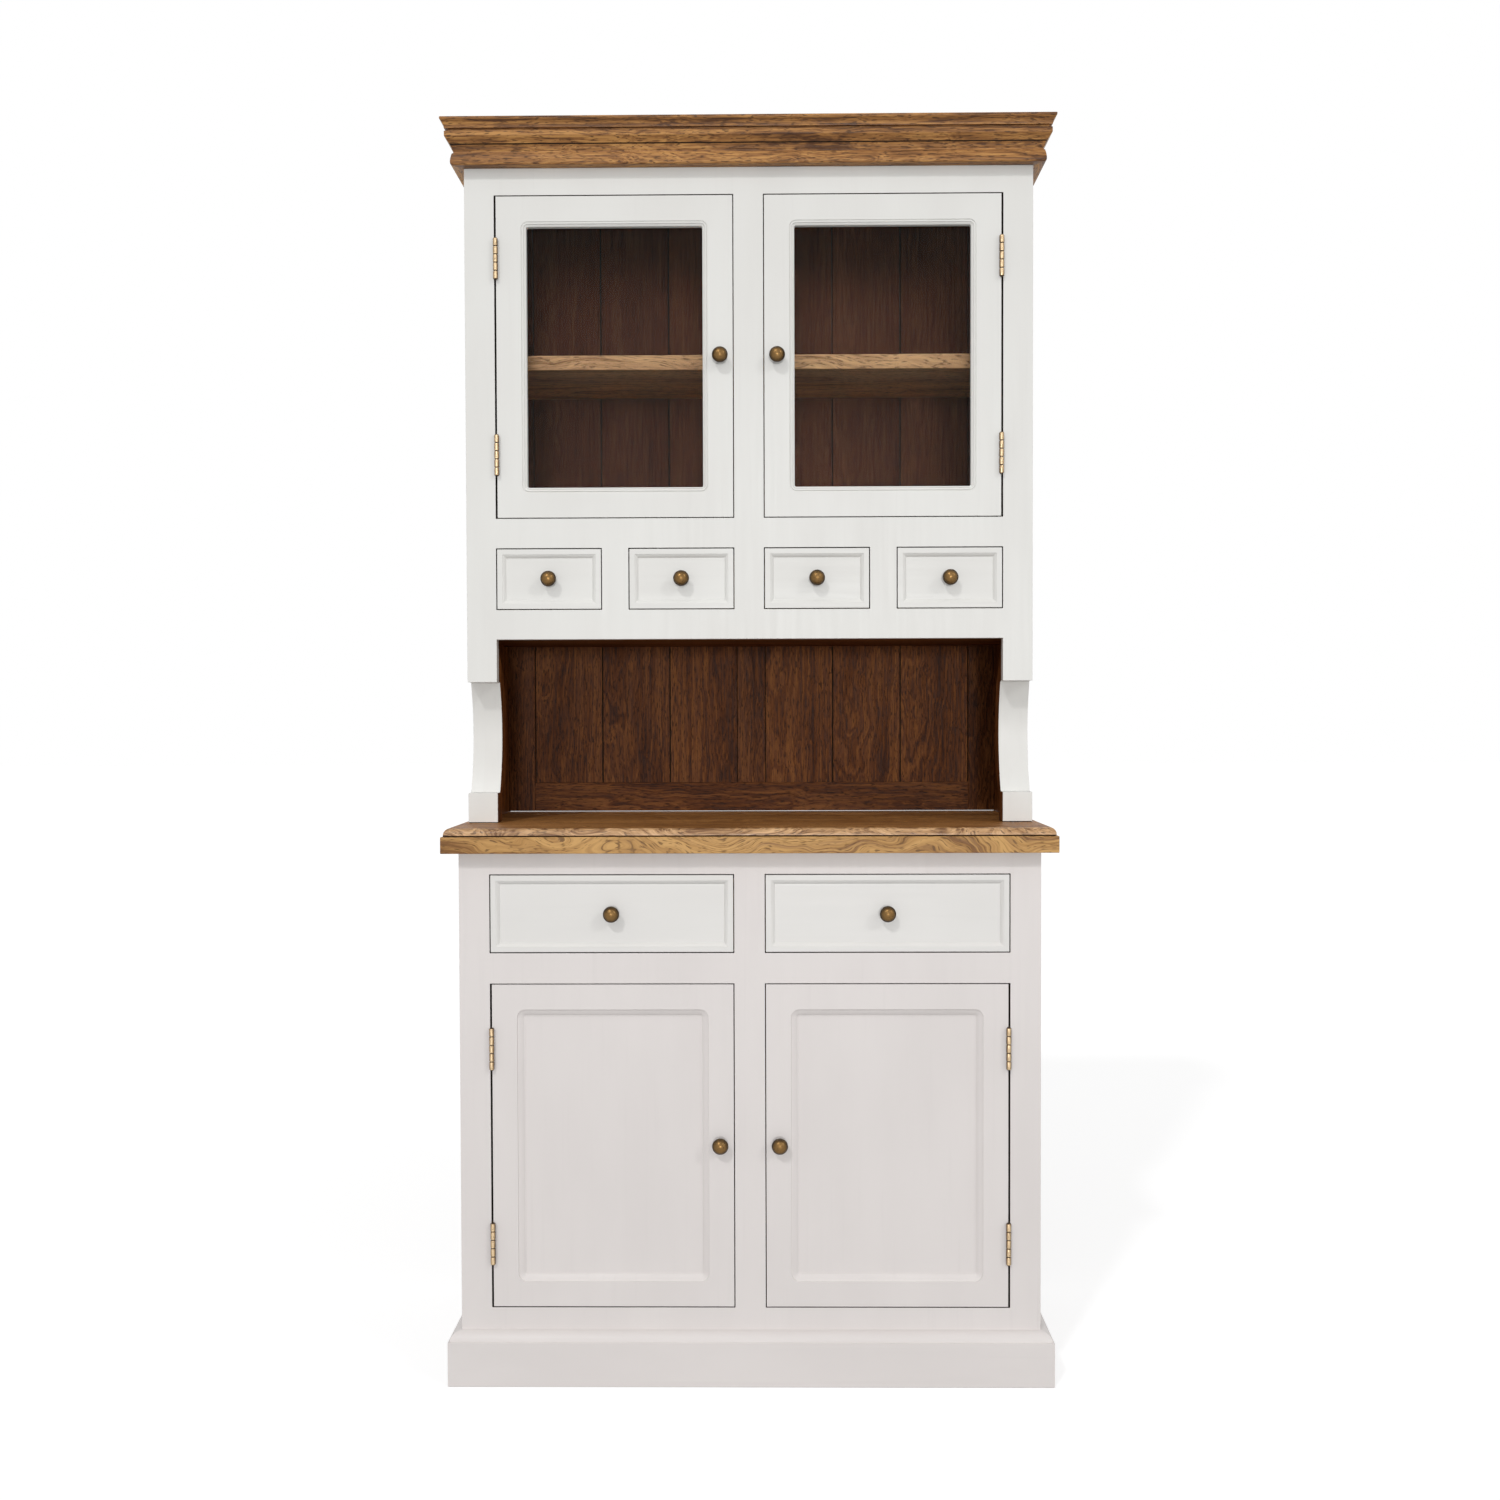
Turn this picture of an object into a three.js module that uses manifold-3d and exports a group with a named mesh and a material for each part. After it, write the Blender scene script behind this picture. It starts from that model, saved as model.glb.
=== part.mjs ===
// Dresser with hutch: a painted base cabinet with two drawers over two cupboard doors and a moulded
// wooden worktop, carrying a hutch with an open niche, four small drawers and two glazed doors.
// Millimetres, Z up, the front faces -Y, origin on the floor below the middle of the worktop.

import * as THREE from 'three';
import Module from 'manifold-3d';
import { mergeVertices } from 'three/addons/utils/BufferGeometryUtils.js';

const wasm = await Module();
wasm.setup();

// Worktop
const worktopWidth = 1000;
const worktopDepth = 440;
const slabThickness = 27;
const topBoardThickness = 14;
const topBoardSetIn = 4;
const topBoardRound = 12;
const worktopEndOverhang = 25;

// Base cabinet
const baseHeight = 873;
const baseSetback = 25;
const baseSideThickness = 18;
const baseBackThickness = 6;
const baseStileWidth = 50;
const baseMullionWidth = 50;
const baseTopRailWidth = 36;
const wideDrawerOpening = 129;
const baseMiddleRailWidth = 50;
const baseBottomRailWidth = 50;
const baseFloorThickness = 18;
const baseShelfThickness = 18;
const baseShelfClearHeight = 262;
const baseShelfSetback = 40;

// Plinth
const plinthHeight = 88;
const plinthThickness = 20;
const plinthFlatHeight = 73;
const plinthStep = 3;
const doorSillAbovePlinth = 36;

// Both face frames and what closes their openings
const frameThickness = 20;
const frontGap = 1.5;
const doorHingeGap = 3;
const doorStopLip = 6;
const stopClearance = 0.5;
const seatClearance = 0.3;

// Hutch
const hutchEndSetback = 22;
const hutchDepth = 312;
const hutchHeight = 1177;
const hutchSideThickness = 20;
const hutchStileWidth = 50;
const hutchMullionWidth = 50;
const drawerMuntinWidth = 45;
const nicheHeight = 311;
const apronWidth = 50;
const smallDrawerOpening = 104;
const hutchMiddleRailWidth = 50;
const hutchTopRailWidth = 103;
const nicheCeilingThickness = 18;
const hutchFloorThickness = 20;
const hutchShelfThickness = 25;
const hutchShelfClearHeight = 254;
const hutchShelfSetback = 30;

// Curved brackets between the hutch and the worktop
const bracketThickness = 30;
const stileDrop = 72;
const footHeight = 51;
const footDepth = 45;
const bracketTopSetback = 30;
const bracketMiddleSetback = 50;
const bracketFootSetback = 25;
const bracketRise = 52;
const bracketRearReach = 95;

// Back of the hutch
const backFrameThickness = 6;
const backBoardThickness = 10;
const backStileWidth = 50;
const backMuntinWidth = 52;
const backRailWidth = 50;
const backLift = 5;
const boardsPerBay = 3;
const boardGrooveWidth = 4;
const boardGrooveDepth = 3;

// Cap and cornice
const capThickness = 17;
const capProjection = 34;
const corniceHeight = 58;
const corniceProjection = 27.5;

// Drawers
const drawerFrontThickness = 20;
const drawerRimWidth = 9;
const drawerMouldWidth = 9;
const drawerMouldDepth = 4;
const drawerSideThickness = 12;
const drawerBottomThickness = 6;
const drawerBottomLift = 8;
const drawerHeadroom = 10;
const drawerSideClearance = 1;
const runnerHeight = 20;
const runnerLedge = 15;
const deckThickness = 18;
const drawerBackClearance = 0.5;

// Doors
const glazedFlatWidth = 43;
const glazedMouldWidth = 7;
const glazedMouldDepth = 5;
const glassThickness = 4;
const rebateWidth = 8;
const rebateDepth = 12;
const rebateClearance = 0.5;
const panelDoorFlatWidth = 44;
const panelDoorMouldWidth = 11;
const panelDoorMouldDepth = 6;
const doorPanelThickness = 8;
const panelRebateDepth = 8;

// Hinges
const hingeHeight = 70;
const hingeRadius = 4;
const hingeGrooveDepth = 0.6;
const hingeGrooveHalf = 0.7;
const hingeFromDoorEnd = 105;
const hingeKnuckles = 5;
const hingeSides = 12;
const hingeFaceClearance = 0.3;
const leafThickness = 2.4;
const leafDepth = 16;

// Knobs
const knobRadius = 13.5;
const knobLength = 24;
const knobSides = 18;
const baseDoorKnobRise = 3;

// Steps along each curved outline and each rounded edge
const curveSteps = 10;
const edgeSteps = 5;

// Outlines as shares of the sizes that they follow: [out, up]
const corniceProfileShares = [
  [0, 0], [0.58, 0], [0.675, 0.03], [0.705, 0.09], [0.68, 0.19], [0.625, 0.3], [0.595, 0.345],
  [0.535, 0.37], [0.535, 0.41], [0.58, 0.44], [0.605, 0.5], [0.655, 0.55], [0.71, 0.595],
  [0.77, 0.64], [0.87, 0.69], [0.975, 0.765], [1, 0.79], [1, 0.93], [0.82, 0.93], [0.82, 1], [0, 1],
];
const capEdgeShares = [[0.81, 0], [0.83, 0.24], [0.87, 0.42], [0.93, 0.58], [1, 0.78], [1, 1]];
const drawerMouldShares = [[0, 0], [0.35, 0.3], [0.6, 0.85], [1, 1]];
const doorMouldShares = [[0, 0], [0.18, 0.3], [0.5, 0.45], [0.8, 0.7], [1, 1]];
const knobProfileShares = [
  [0, 0], [0.62, 0], [0.62, 0.08], [0.42, 0.16], [0.42, 0.34], [0.78, 0.48], [1, 0.6], [0.98, 0.7],
  [0.78, 0.86], [0.42, 0.97], [0, 1],
];

// Widths, heights and planes worked out from the sizes above
const baseWidth = worktopWidth - 2 * worktopEndOverhang;
const hutchWidth = worktopWidth - 2 * hutchEndSetback;
const worktopTop = baseHeight + slabThickness + topBoardThickness;
const worktopFront = -worktopDepth / 2;
const backPlane = worktopDepth / 2;
const baseFace = worktopFront + baseSetback;
const baseFrameBack = baseFace + frameThickness;
const hutchFace = backPlane - hutchDepth;
const hutchFrameBack = hutchFace + frameThickness;
const wideDrawerTop = baseHeight - baseTopRailWidth;
const wideDrawerFloor = wideDrawerTop - wideDrawerOpening;
const baseDoorTop = wideDrawerFloor - baseMiddleRailWidth;
const baseDoorSill = plinthHeight + doorSillAbovePlinth;
const baseDoorOpening = baseDoorTop - baseDoorSill;
const baseInnerHalf = baseWidth / 2 - baseSideThickness;
const baseBackFace = backPlane - baseBackThickness;
const nicheTop = worktopTop + nicheHeight;
const smallDrawerFloor = nicheTop + apronWidth;
const smallDrawerTop = smallDrawerFloor + smallDrawerOpening;
const glazedDoorSill = smallDrawerTop + hutchMiddleRailWidth;
const hutchTop = worktopTop + hutchHeight;
const capUnderside = hutchTop - capThickness;
const glazedDoorTop = capUnderside - hutchTopRailWidth;
const glazedDoorOpening = glazedDoorTop - glazedDoorSill;
const hutchInnerHalf = hutchWidth / 2 - hutchSideThickness;
const backFrameFace = backPlane - backFrameThickness - backBoardThickness;
const doorThickness = frameThickness - stopClearance;

// Materials, one function for each finish
function paint() {
  return new THREE.MeshStandardMaterial({ color: 0xe4e2de, roughness: 0.5, metalness: 0 });
}

function honeyOak() {
  return new THREE.MeshStandardMaterial({ color: 0xb58957, roughness: 0.55, metalness: 0 });
}

function corniceOak() {
  return new THREE.MeshStandardMaterial({ color: 0x8a5a34, roughness: 0.55, metalness: 0 });
}

function darkStain() {
  return new THREE.MeshStandardMaterial({ color: 0x5a3820, roughness: 0.5, metalness: 0 });
}

function plainWood() {
  return new THREE.MeshStandardMaterial({ color: 0xc9a77c, roughness: 0.7, metalness: 0 });
}

function glass() {
  return new THREE.MeshStandardMaterial({
    color: 0xdfe8e4, roughness: 0.05, metalness: 0, transparent: true, opacity: 0.35,
  });
}

function agedBrass() {
  return new THREE.MeshStandardMaterial({ color: 0x7d5f32, roughness: 0.4, metalness: 0.9 });
}

// Shape helpers

// A board between two opposite corners.
function board(low, high) {
  const size = high.map((value, axis) => value - low[axis]);
  const geometry = new THREE.BoxGeometry(...size);
  geometry.translate(...low.map((value, axis) => value + size[axis] / 2));
  return geometry;
}

function toManifold(geometry) {
  const bare = geometry.clone();
  bare.deleteAttribute('normal');
  bare.deleteAttribute('uv');
  const merged = mergeVertices(bare);
  const vertProperties = new Float32Array(merged.attributes.position.array);
  const triVerts = new Uint32Array(merged.index.array);
  return new wasm.Manifold(new wasm.Mesh({ numProp: 3, vertProperties, triVerts }));
}

function fromManifold(solid) {
  const mesh = solid.getMesh();
  const geometry = new THREE.BufferGeometry();
  geometry.setAttribute('position', new THREE.BufferAttribute(mesh.vertProperties, mesh.numProp));
  geometry.setIndex(new THREE.BufferAttribute(mesh.triVerts, 1));
  geometry.computeVertexNormals();
  return geometry;
}

// Boards glued up into one piece.
function glued(boards) {
  const solids = boards.map(toManifold);
  return fromManifold(solids.reduce((whole, solid) => whole.add(solid)));
}

function volumeOf(points, faces) {
  let sum = 0;
  for (const [a, b, c] of faces) {
    sum += points[a].dot(new THREE.Vector3().crossVectors(points[b], points[c]));
  }
  return sum;
}

// A skin over rings of points. A looped skin joins its last ring to its first, and any other is
// closed at both ends by the triangles of one ring.
function loft(rings, capFaces) {
  const count = rings[0].length;
  const points = rings.flat();
  const faces = [];
  const bands = capFaces ? rings.length - 1 : rings.length;
  for (let band = 0; band < bands; band += 1) {
    const near = band * count;
    const far = ((band + 1) % rings.length) * count;
    for (let i = 0; i < count; i += 1) {
      const next = (i + 1) % count;
      faces.push([near + i, near + next, far + next]);
      faces.push([near + i, far + next, far + i]);
    }
  }
  if (capFaces) {
    const last = (rings.length - 1) * count;
    for (const [a, b, c] of capFaces) {
      faces.push([c, b, a]);
      faces.push([last + a, last + b, last + c]);
    }
  }
  if (volumeOf(points, faces) < 0) {
    faces.forEach((face) => face.reverse());
  }
  const geometry = new THREE.BufferGeometry().setFromPoints(points);
  geometry.setIndex(faces.flat());
  geometry.computeVertexNormals();
  return geometry;
}

// The triangles that close a ring of corners, all of them from its first corner.
function fanCap(ring) {
  const faces = [];
  for (let i = 1; i + 1 < ring.length; i += 1) {
    faces.push([0, i, i + 1]);
  }
  return faces;
}

function outlineCap(outline) {
  return THREE.ShapeUtils.triangulateShape(outline.map(([x, y]) => new THREE.Vector2(x, y)), []);
}

// Four corners of an upright rectangle in a door or drawer front, inset from its edges.
function frontRing(width, height, inset, depth) {
  const x = width / 2 - inset;
  const z = height / 2 - inset;
  return [[-x, -z], [x, -z], [x, z], [-x, z]].map((p) => new THREE.Vector3(p[0], depth, p[1]));
}

// A mitred frame: the section's points are [inset from the edge, depth behind the face].
function mitredFrame(width, height, section) {
  const corners = section.map(([inset, depth]) => frontRing(width, height, inset, depth));
  const rings = corners[0].map((unused, corner) => corners.map((ring) => ring[corner]));
  return loft(rings, null);
}

// A board whose front and side edges are moulded and whose back edge is straight.
function edgedBoard(halfWidth, front, back, edge) {
  const rings = edge.map(([out, up]) => {
    const x = halfWidth + out;
    const y = front - out;
    return [[-x, y], [x, y], [x, back], [-x, back]].map((p) => new THREE.Vector3(p[0], p[1], up));
  });
  return loft(rings, fanCap(rings[0]));
}

// A moulding that runs round the front and both sides, mitred at the two front corners.
function wrapMoulding(halfWidth, front, back, profile) {
  const stations = [
    (out) => [-halfWidth - out, back],
    (out) => [-halfWidth - out, front - out],
    (out) => [halfWidth + out, front - out],
    (out) => [halfWidth + out, back],
  ];
  const rings = stations.map((station) => profile.map(([out, up]) => {
    const [x, y] = station(out);
    return new THREE.Vector3(x, y, up);
  }));
  return loft(rings, outlineCap(profile));
}

// A plate cut to an outline of [depth, height] points and as thick as the cabinet's X runs.
function sidePlate(outline, thickness) {
  const shape = new THREE.Shape(outline.map(([y, z]) => new THREE.Vector2(y, z)));
  const geometry = new THREE.ExtrudeGeometry(shape, { depth: thickness, bevelEnabled: false });
  geometry.rotateY(Math.PI / 2);
  geometry.rotateX(Math.PI / 2);
  return geometry;
}

function named(name, geometry, material, parent) {
  const mesh = new THREE.Mesh(geometry, material);
  mesh.name = name;
  parent.add(mesh);
  return mesh;
}

// Base cabinet

function plinthProfile() {
  const round = plinthHeight - plinthFlatHeight;
  const reach = plinthThickness - plinthStep;
  const curve = [];
  for (let i = 0; i <= edgeSteps; i += 1) {
    const turn = (i / edgeSteps) * (Math.PI / 2);
    const out = reach * Math.cos(turn);
    curve.push([i === edgeSteps ? 0 : out, plinthFlatHeight + round * Math.sin(turn)]);
  }
  return [[0, 0], [plinthThickness, 0], [plinthThickness, plinthFlatHeight], ...curve];
}

function baseFaceFrame() {
  const half = baseWidth / 2;
  const stileEdge = half - baseStileWidth;
  const mullion = baseMullionWidth / 2;
  const rail = (low, high) => board([-stileEdge, baseFace, low], [stileEdge, baseFrameBack, high]);
  return glued([
    board([-half, baseFace, 0], [-stileEdge, baseFrameBack, baseHeight]),
    board([stileEdge, baseFace, 0], [half, baseFrameBack, baseHeight]),
    rail(wideDrawerTop, baseHeight),
    rail(baseDoorTop, wideDrawerFloor),
    rail(baseDoorSill - baseBottomRailWidth, baseDoorSill),
    board([-mullion, baseFace, baseDoorSill - baseBottomRailWidth], [mullion, baseFrameBack, baseHeight]),
  ]);
}

// The deck that carries the two wide drawers, with a guide strip at each side of each drawer.
function baseDrawerBed() {
  const stileEdge = baseWidth / 2 - baseStileWidth;
  const mullion = baseMullionWidth / 2;
  const guideTop = wideDrawerFloor + runnerHeight;
  const guide = (low, high) => board([low, baseFrameBack, wideDrawerFloor], [high, baseBackFace, guideTop]);
  return glued([
    board(
      [-baseInnerHalf, baseFrameBack, wideDrawerFloor - deckThickness],
      [baseInnerHalf, baseBackFace, wideDrawerFloor],
    ),
    guide(-baseInnerHalf, -stileEdge),
    guide(-mullion, mullion),
    guide(stileEdge, baseInnerHalf),
  ]);
}

function buildBase(parent) {
  const half = baseWidth / 2;
  const floorTop = baseDoorSill + doorStopLip;
  const shelfLow = floorTop + baseShelfClearHeight;
  const shelfFront = baseFrameBack + baseShelfSetback;
  const side = (low, high) => board([low, baseFrameBack, 0], [high, backPlane, baseHeight]);
  named('plinth', wrapMoulding(half, baseFace, backPlane, plinthProfile()), paint(), parent);
  named('base_side_left', side(-half, -baseInnerHalf), paint(), parent);
  named('base_side_right', side(baseInnerHalf, half), paint(), parent);
  named('base_face_frame', baseFaceFrame(), paint(), parent);
  named('base_back_panel', board(
    [-baseInnerHalf, baseBackFace, floorTop - baseFloorThickness],
    [baseInnerHalf, backPlane, baseHeight],
  ), darkStain(), parent);
  named('base_floor', board(
    [-baseInnerHalf, baseFrameBack, floorTop - baseFloorThickness],
    [baseInnerHalf, baseBackFace, floorTop],
  ), darkStain(), parent);
  named('base_shelf', board(
    [-baseInnerHalf, shelfFront, shelfLow],
    [baseInnerHalf, baseBackFace, shelfLow + baseShelfThickness],
  ), darkStain(), parent);
  named('base_drawer_bed', baseDrawerBed(), plainWood(), parent);
}

// Worktop

function topBoardEdge() {
  const low = baseHeight + slabThickness;
  const straight = topBoardThickness - topBoardRound;
  const edge = [[-topBoardSetIn, low]];
  for (let i = 0; i <= edgeSteps; i += 1) {
    const turn = (i / edgeSteps) * (Math.PI / 2);
    const out = -topBoardSetIn - topBoardRound * (1 - Math.cos(turn));
    edge.push([out, low + straight + topBoardRound * Math.sin(turn)]);
  }
  return edge;
}

function buildWorktop(parent) {
  const half = worktopWidth / 2;
  named('worktop_slab', board(
    [-half, worktopFront, baseHeight],
    [half, backPlane, baseHeight + slabThickness],
  ), honeyOak(), parent);
  named('worktop_top_board', edgedBoard(half, worktopFront, backPlane, topBoardEdge()), honeyOak(), parent);
}

// Hutch

// The hollow front edge that the brackets and the hutch's sides share, from the foot up.
function bracketFrontCurve() {
  const foot = new THREE.Vector2(hutchFace + bracketFootSetback, worktopTop + footHeight);
  const top = new THREE.Vector2(hutchFace + bracketTopSetback, nicheTop - stileDrop);
  const middle = new THREE.Vector2(
    hutchFace + 2 * bracketMiddleSetback - (bracketFootSetback + bracketTopSetback) / 2,
    (foot.y + top.y) / 2,
  );
  const curve = new THREE.QuadraticBezierCurve(foot, middle, top);
  return curve.getPoints(curveSteps).map((p) => [p.x, p.y]);
}

function bracketRearCurve() {
  const top = new THREE.Vector2(hutchFrameBack, nicheTop - stileDrop + bracketRise);
  const foot = new THREE.Vector2(hutchFace + footDepth, worktopTop + footHeight);
  const pull = (8 * (hutchFace + bracketRearReach) - top.x - foot.x) / 6;
  const upper = new THREE.Vector2(pull, top.y - bracketRise);
  const lower = new THREE.Vector2(pull, foot.y + footHeight / 2);
  const curve = new THREE.CubicBezierCurve(top, upper, lower, foot);
  return curve.getPoints(curveSteps).map((p) => [p.x, p.y]);
}

function hutchSideOutline() {
  const stileEnd = nicheTop - stileDrop;
  return [
    [hutchFace, worktopTop],
    [hutchFace, worktopTop + footHeight],
    ...bracketFrontCurve(),
    [hutchFrameBack, stileEnd],
    [hutchFrameBack, capUnderside],
    [backPlane, capUnderside],
    [backPlane, worktopTop],
  ];
}

function bracketOutline() {
  const stileEnd = nicheTop - stileDrop;
  return [
    [hutchFace, worktopTop],
    [hutchFace, worktopTop + footHeight],
    ...bracketFrontCurve(),
    [hutchFrameBack, stileEnd],
    ...bracketRearCurve(),
    [hutchFace + footDepth, worktopTop],
  ];
}

function hutchFaceFrame() {
  const half = hutchWidth / 2;
  const stileEdge = half - hutchStileWidth;
  const mullion = hutchMullionWidth / 2;
  const muntin = drawerMuntinWidth / 2;
  const muntinPlace = (stileEdge + mullion) / 2;
  const upright = (low, high, from, to) => board([low, hutchFace, from], [high, hutchFrameBack, to]);
  const stileEnd = nicheTop - stileDrop;
  return glued([
    upright(-half, -stileEdge, stileEnd, capUnderside),
    upright(stileEdge, half, stileEnd, capUnderside),
    upright(-stileEdge, stileEdge, nicheTop, smallDrawerFloor),
    upright(-stileEdge, stileEdge, smallDrawerTop, glazedDoorSill),
    upright(-stileEdge, stileEdge, glazedDoorTop, capUnderside),
    upright(-mullion, mullion, nicheTop, capUnderside),
    upright(-muntinPlace - muntin, -muntinPlace + muntin, nicheTop, glazedDoorSill),
    upright(muntinPlace - muntin, muntinPlace + muntin, nicheTop, glazedDoorSill),
  ]);
}

// The niche's ceiling with the runners on it: a ledge under each drawer's side and a guide between.
function smallDrawerBed() {
  const stileEdge = hutchWidth / 2 - hutchStileWidth;
  const mullion = hutchMullionWidth / 2;
  const muntin = drawerMuntinWidth / 2;
  const muntinPlace = (stileEdge + mullion) / 2;
  const ceilingTop = nicheTop + nicheCeilingThickness;
  const guides = [
    [-hutchInnerHalf, -stileEdge],
    [-muntinPlace - muntin, -muntinPlace + muntin],
    [-mullion, mullion],
    [muntinPlace - muntin, muntinPlace + muntin],
    [stileEdge, hutchInnerHalf],
  ];
  const boards = [board(
    [-hutchInnerHalf, hutchFrameBack, nicheTop],
    [hutchInnerHalf, backFrameFace, ceilingTop],
  )];
  for (const [low, high] of guides) {
    const ledgeLow = Math.max(low - runnerLedge, -hutchInnerHalf);
    const ledgeHigh = Math.min(high + runnerLedge, hutchInnerHalf);
    const guideTop = smallDrawerFloor + runnerHeight;
    boards.push(board([ledgeLow, hutchFrameBack, nicheTop], [ledgeHigh, backFrameFace, smallDrawerFloor]));
    boards.push(board([low, hutchFrameBack, nicheTop], [high, backFrameFace, guideTop]));
  }
  return glued(boards);
}

function backFrame() {
  const low = worktopTop + backLift;
  const stileEdge = hutchInnerHalf - backStileWidth;
  const muntin = backMuntinWidth / 2;
  const backOfFrame = backFrameFace + backFrameThickness;
  const strip = (x0, x1, z0, z1) => board([x0, backFrameFace, z0], [x1, backOfFrame, z1]);
  return glued([
    strip(-hutchInnerHalf, -stileEdge, low, capUnderside),
    strip(stileEdge, hutchInnerHalf, low, capUnderside),
    strip(-muntin, muntin, low, capUnderside),
    strip(-hutchInnerHalf, hutchInnerHalf, low, low + backRailWidth),
    strip(-hutchInnerHalf, hutchInnerHalf, nicheTop, glazedDoorSill),
    strip(-hutchInnerHalf, hutchInnerHalf, capUnderside - backRailWidth, capUnderside),
  ]);
}

// Tongued boards in two bays, drawn as one sheet with a V groove along every joint.
function backBoards() {
  const face = backFrameFace + backFrameThickness;
  const bayLow = backMuntinWidth / 2;
  const bayHigh = hutchInnerHalf - backStileWidth;
  const boardWidth = (bayHigh - bayLow) / boardsPerBay;
  const joints = [];
  for (let i = 1; i < boardsPerBay; i += 1) {
    joints.push(bayLow + i * boardWidth);
  }
  const places = [...joints.map((x) => -x).reverse(), ...joints];
  const outline = [[-hutchInnerHalf, backPlane], [-hutchInnerHalf, face]];
  for (const x of places) {
    outline.push([x - boardGrooveWidth / 2, face]);
    outline.push([x, face + boardGrooveDepth]);
    outline.push([x + boardGrooveWidth / 2, face]);
  }
  outline.push([hutchInnerHalf, face], [hutchInnerHalf, backPlane]);
  const low = worktopTop + backLift;
  const ring = (z) => outline.map(([x, y]) => new THREE.Vector3(x, y, z));
  return loft([ring(low), ring(capUnderside)], outlineCap(outline));
}

function buildHutch(parent) {
  const half = hutchWidth / 2;
  const floorTop = glazedDoorSill + doorStopLip;
  const shelfLow = floorTop + hutchShelfClearHeight;
  const side = () => sidePlate(hutchSideOutline(), hutchSideThickness);
  const bracket = () => sidePlate(bracketOutline(), bracketThickness);
  named('hutch_side_left', side(), paint(), parent).position.x = -half;
  named('hutch_side_right', side(), paint(), parent).position.x = hutchInnerHalf;
  named('bracket_left', bracket(), paint(), parent).position.x = -hutchInnerHalf;
  named('bracket_right', bracket(), paint(), parent).position.x = hutchInnerHalf - bracketThickness;
  named('hutch_face_frame', hutchFaceFrame(), paint(), parent);
  named('small_drawer_bed', smallDrawerBed(), darkStain(), parent);
  named('hutch_floor', board(
    [-hutchInnerHalf, hutchFrameBack, floorTop - hutchFloorThickness],
    [hutchInnerHalf, backFrameFace, floorTop],
  ), darkStain(), parent);
  named('hutch_shelf', board(
    [-hutchInnerHalf, hutchFrameBack + hutchShelfSetback, shelfLow],
    [hutchInnerHalf, backFrameFace, shelfLow + hutchShelfThickness],
  ), darkStain(), parent);
  named('hutch_back_frame', backFrame(), darkStain(), parent);
  named('hutch_back_boards', backBoards(), darkStain(), parent);
  const crown = corniceProfileShares.map(([out, up]) => [
    out * corniceProjection,
    capUnderside - corniceHeight + up * corniceHeight,
  ]);
  named('cornice', wrapMoulding(half, hutchFace, backPlane, crown), corniceOak(), parent);
  const capEdge = capEdgeShares.map(([out, up]) => [out * capProjection, capUnderside + up * capThickness]);
  named('hutch_cap', edgedBoard(half, hutchFace, backPlane, capEdge), corniceOak(), parent);
}

// Knobs, hinges, drawers and doors

// A lathe without its seam: only positions are kept, so that the two ends meet.
function toClosedLathe(geometry) {
  geometry.deleteAttribute('normal');
  geometry.deleteAttribute('uv');
  return geometry;
}

// A turned knob that stands out towards -Y from the point where it is screwed on.
function knobGeometry() {
  const points = knobProfileShares.map(([r, out]) => new THREE.Vector2(r * knobRadius, out * knobLength));
  const geometry = new THREE.LatheGeometry(points, knobSides);
  geometry.rotateX(Math.PI);
  return mergeVertices(toClosedLathe(geometry));
}

// A butt hinge: a barrel of knuckles just in front of the frame, on a leaf in the door's gap.
// side is 1 where the hinge stands at the opening's +X edge, and -1 at its -X edge.
function hingeGeometry(side) {
  const half = hingeHeight / 2;
  const profile = [new THREE.Vector2(0, -half), new THREE.Vector2(hingeRadius, -half)];
  for (let joint = 1; joint < hingeKnuckles; joint += 1) {
    const z = -half + (joint * hingeHeight) / hingeKnuckles;
    profile.push(new THREE.Vector2(hingeRadius, z - hingeGrooveHalf));
    profile.push(new THREE.Vector2(hingeRadius - hingeGrooveDepth, z));
    profile.push(new THREE.Vector2(hingeRadius, z + hingeGrooveHalf));
  }
  profile.push(new THREE.Vector2(hingeRadius, half), new THREE.Vector2(0, half));
  const barrel = toClosedLathe(new THREE.LatheGeometry(profile, hingeSides));
  barrel.rotateX(Math.PI / 2);
  const face = hingeRadius + hingeFaceClearance;
  const near = side * doorHingeGap;
  const far = side * (doorHingeGap - leafThickness);
  const leaf = board(
    [Math.min(near, far), 0, -half],
    [Math.max(near, far), face + leafDepth, half],
  );
  return glued([barrel, leaf]);
}

function addHinge(name, side, edge, face, height, parent) {
  const hinge = named(name, hingeGeometry(side), agedBrass(), parent);
  hinge.position.set(edge - side * doorHingeGap, face - hingeRadius - hingeFaceClearance, height);
}

function moulded(shares, start, width, depth) {
  return shares.map(([across, down]) => [start + across * width, down * depth]);
}

function drawerFront(width, height) {
  const section = [
    [0, drawerFrontThickness],
    [0, 0],
    ...moulded(drawerMouldShares, drawerRimWidth, drawerMouldWidth, drawerMouldDepth),
  ];
  const rings = section.map(([inset, depth]) => frontRing(width, height, inset, depth));
  return loft(rings, fanCap(rings[0]));
}

// A glued drawer box with its bottom let in above the lower edge of its sides.
function drawerBox(width, height, depth) {
  const half = width / 2;
  const inner = half - drawerSideThickness;
  return glued([
    board([-half, 0, 0], [-inner, depth, height]),
    board([inner, 0, 0], [half, depth, height]),
    board([-half, 0, 0], [half, drawerSideThickness, height]),
    board([-half, depth - drawerSideThickness, 0], [half, depth, height]),
    board([-half, 0, drawerBottomLift], [half, depth, drawerBottomLift + drawerBottomThickness]),
  ]);
}

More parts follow.
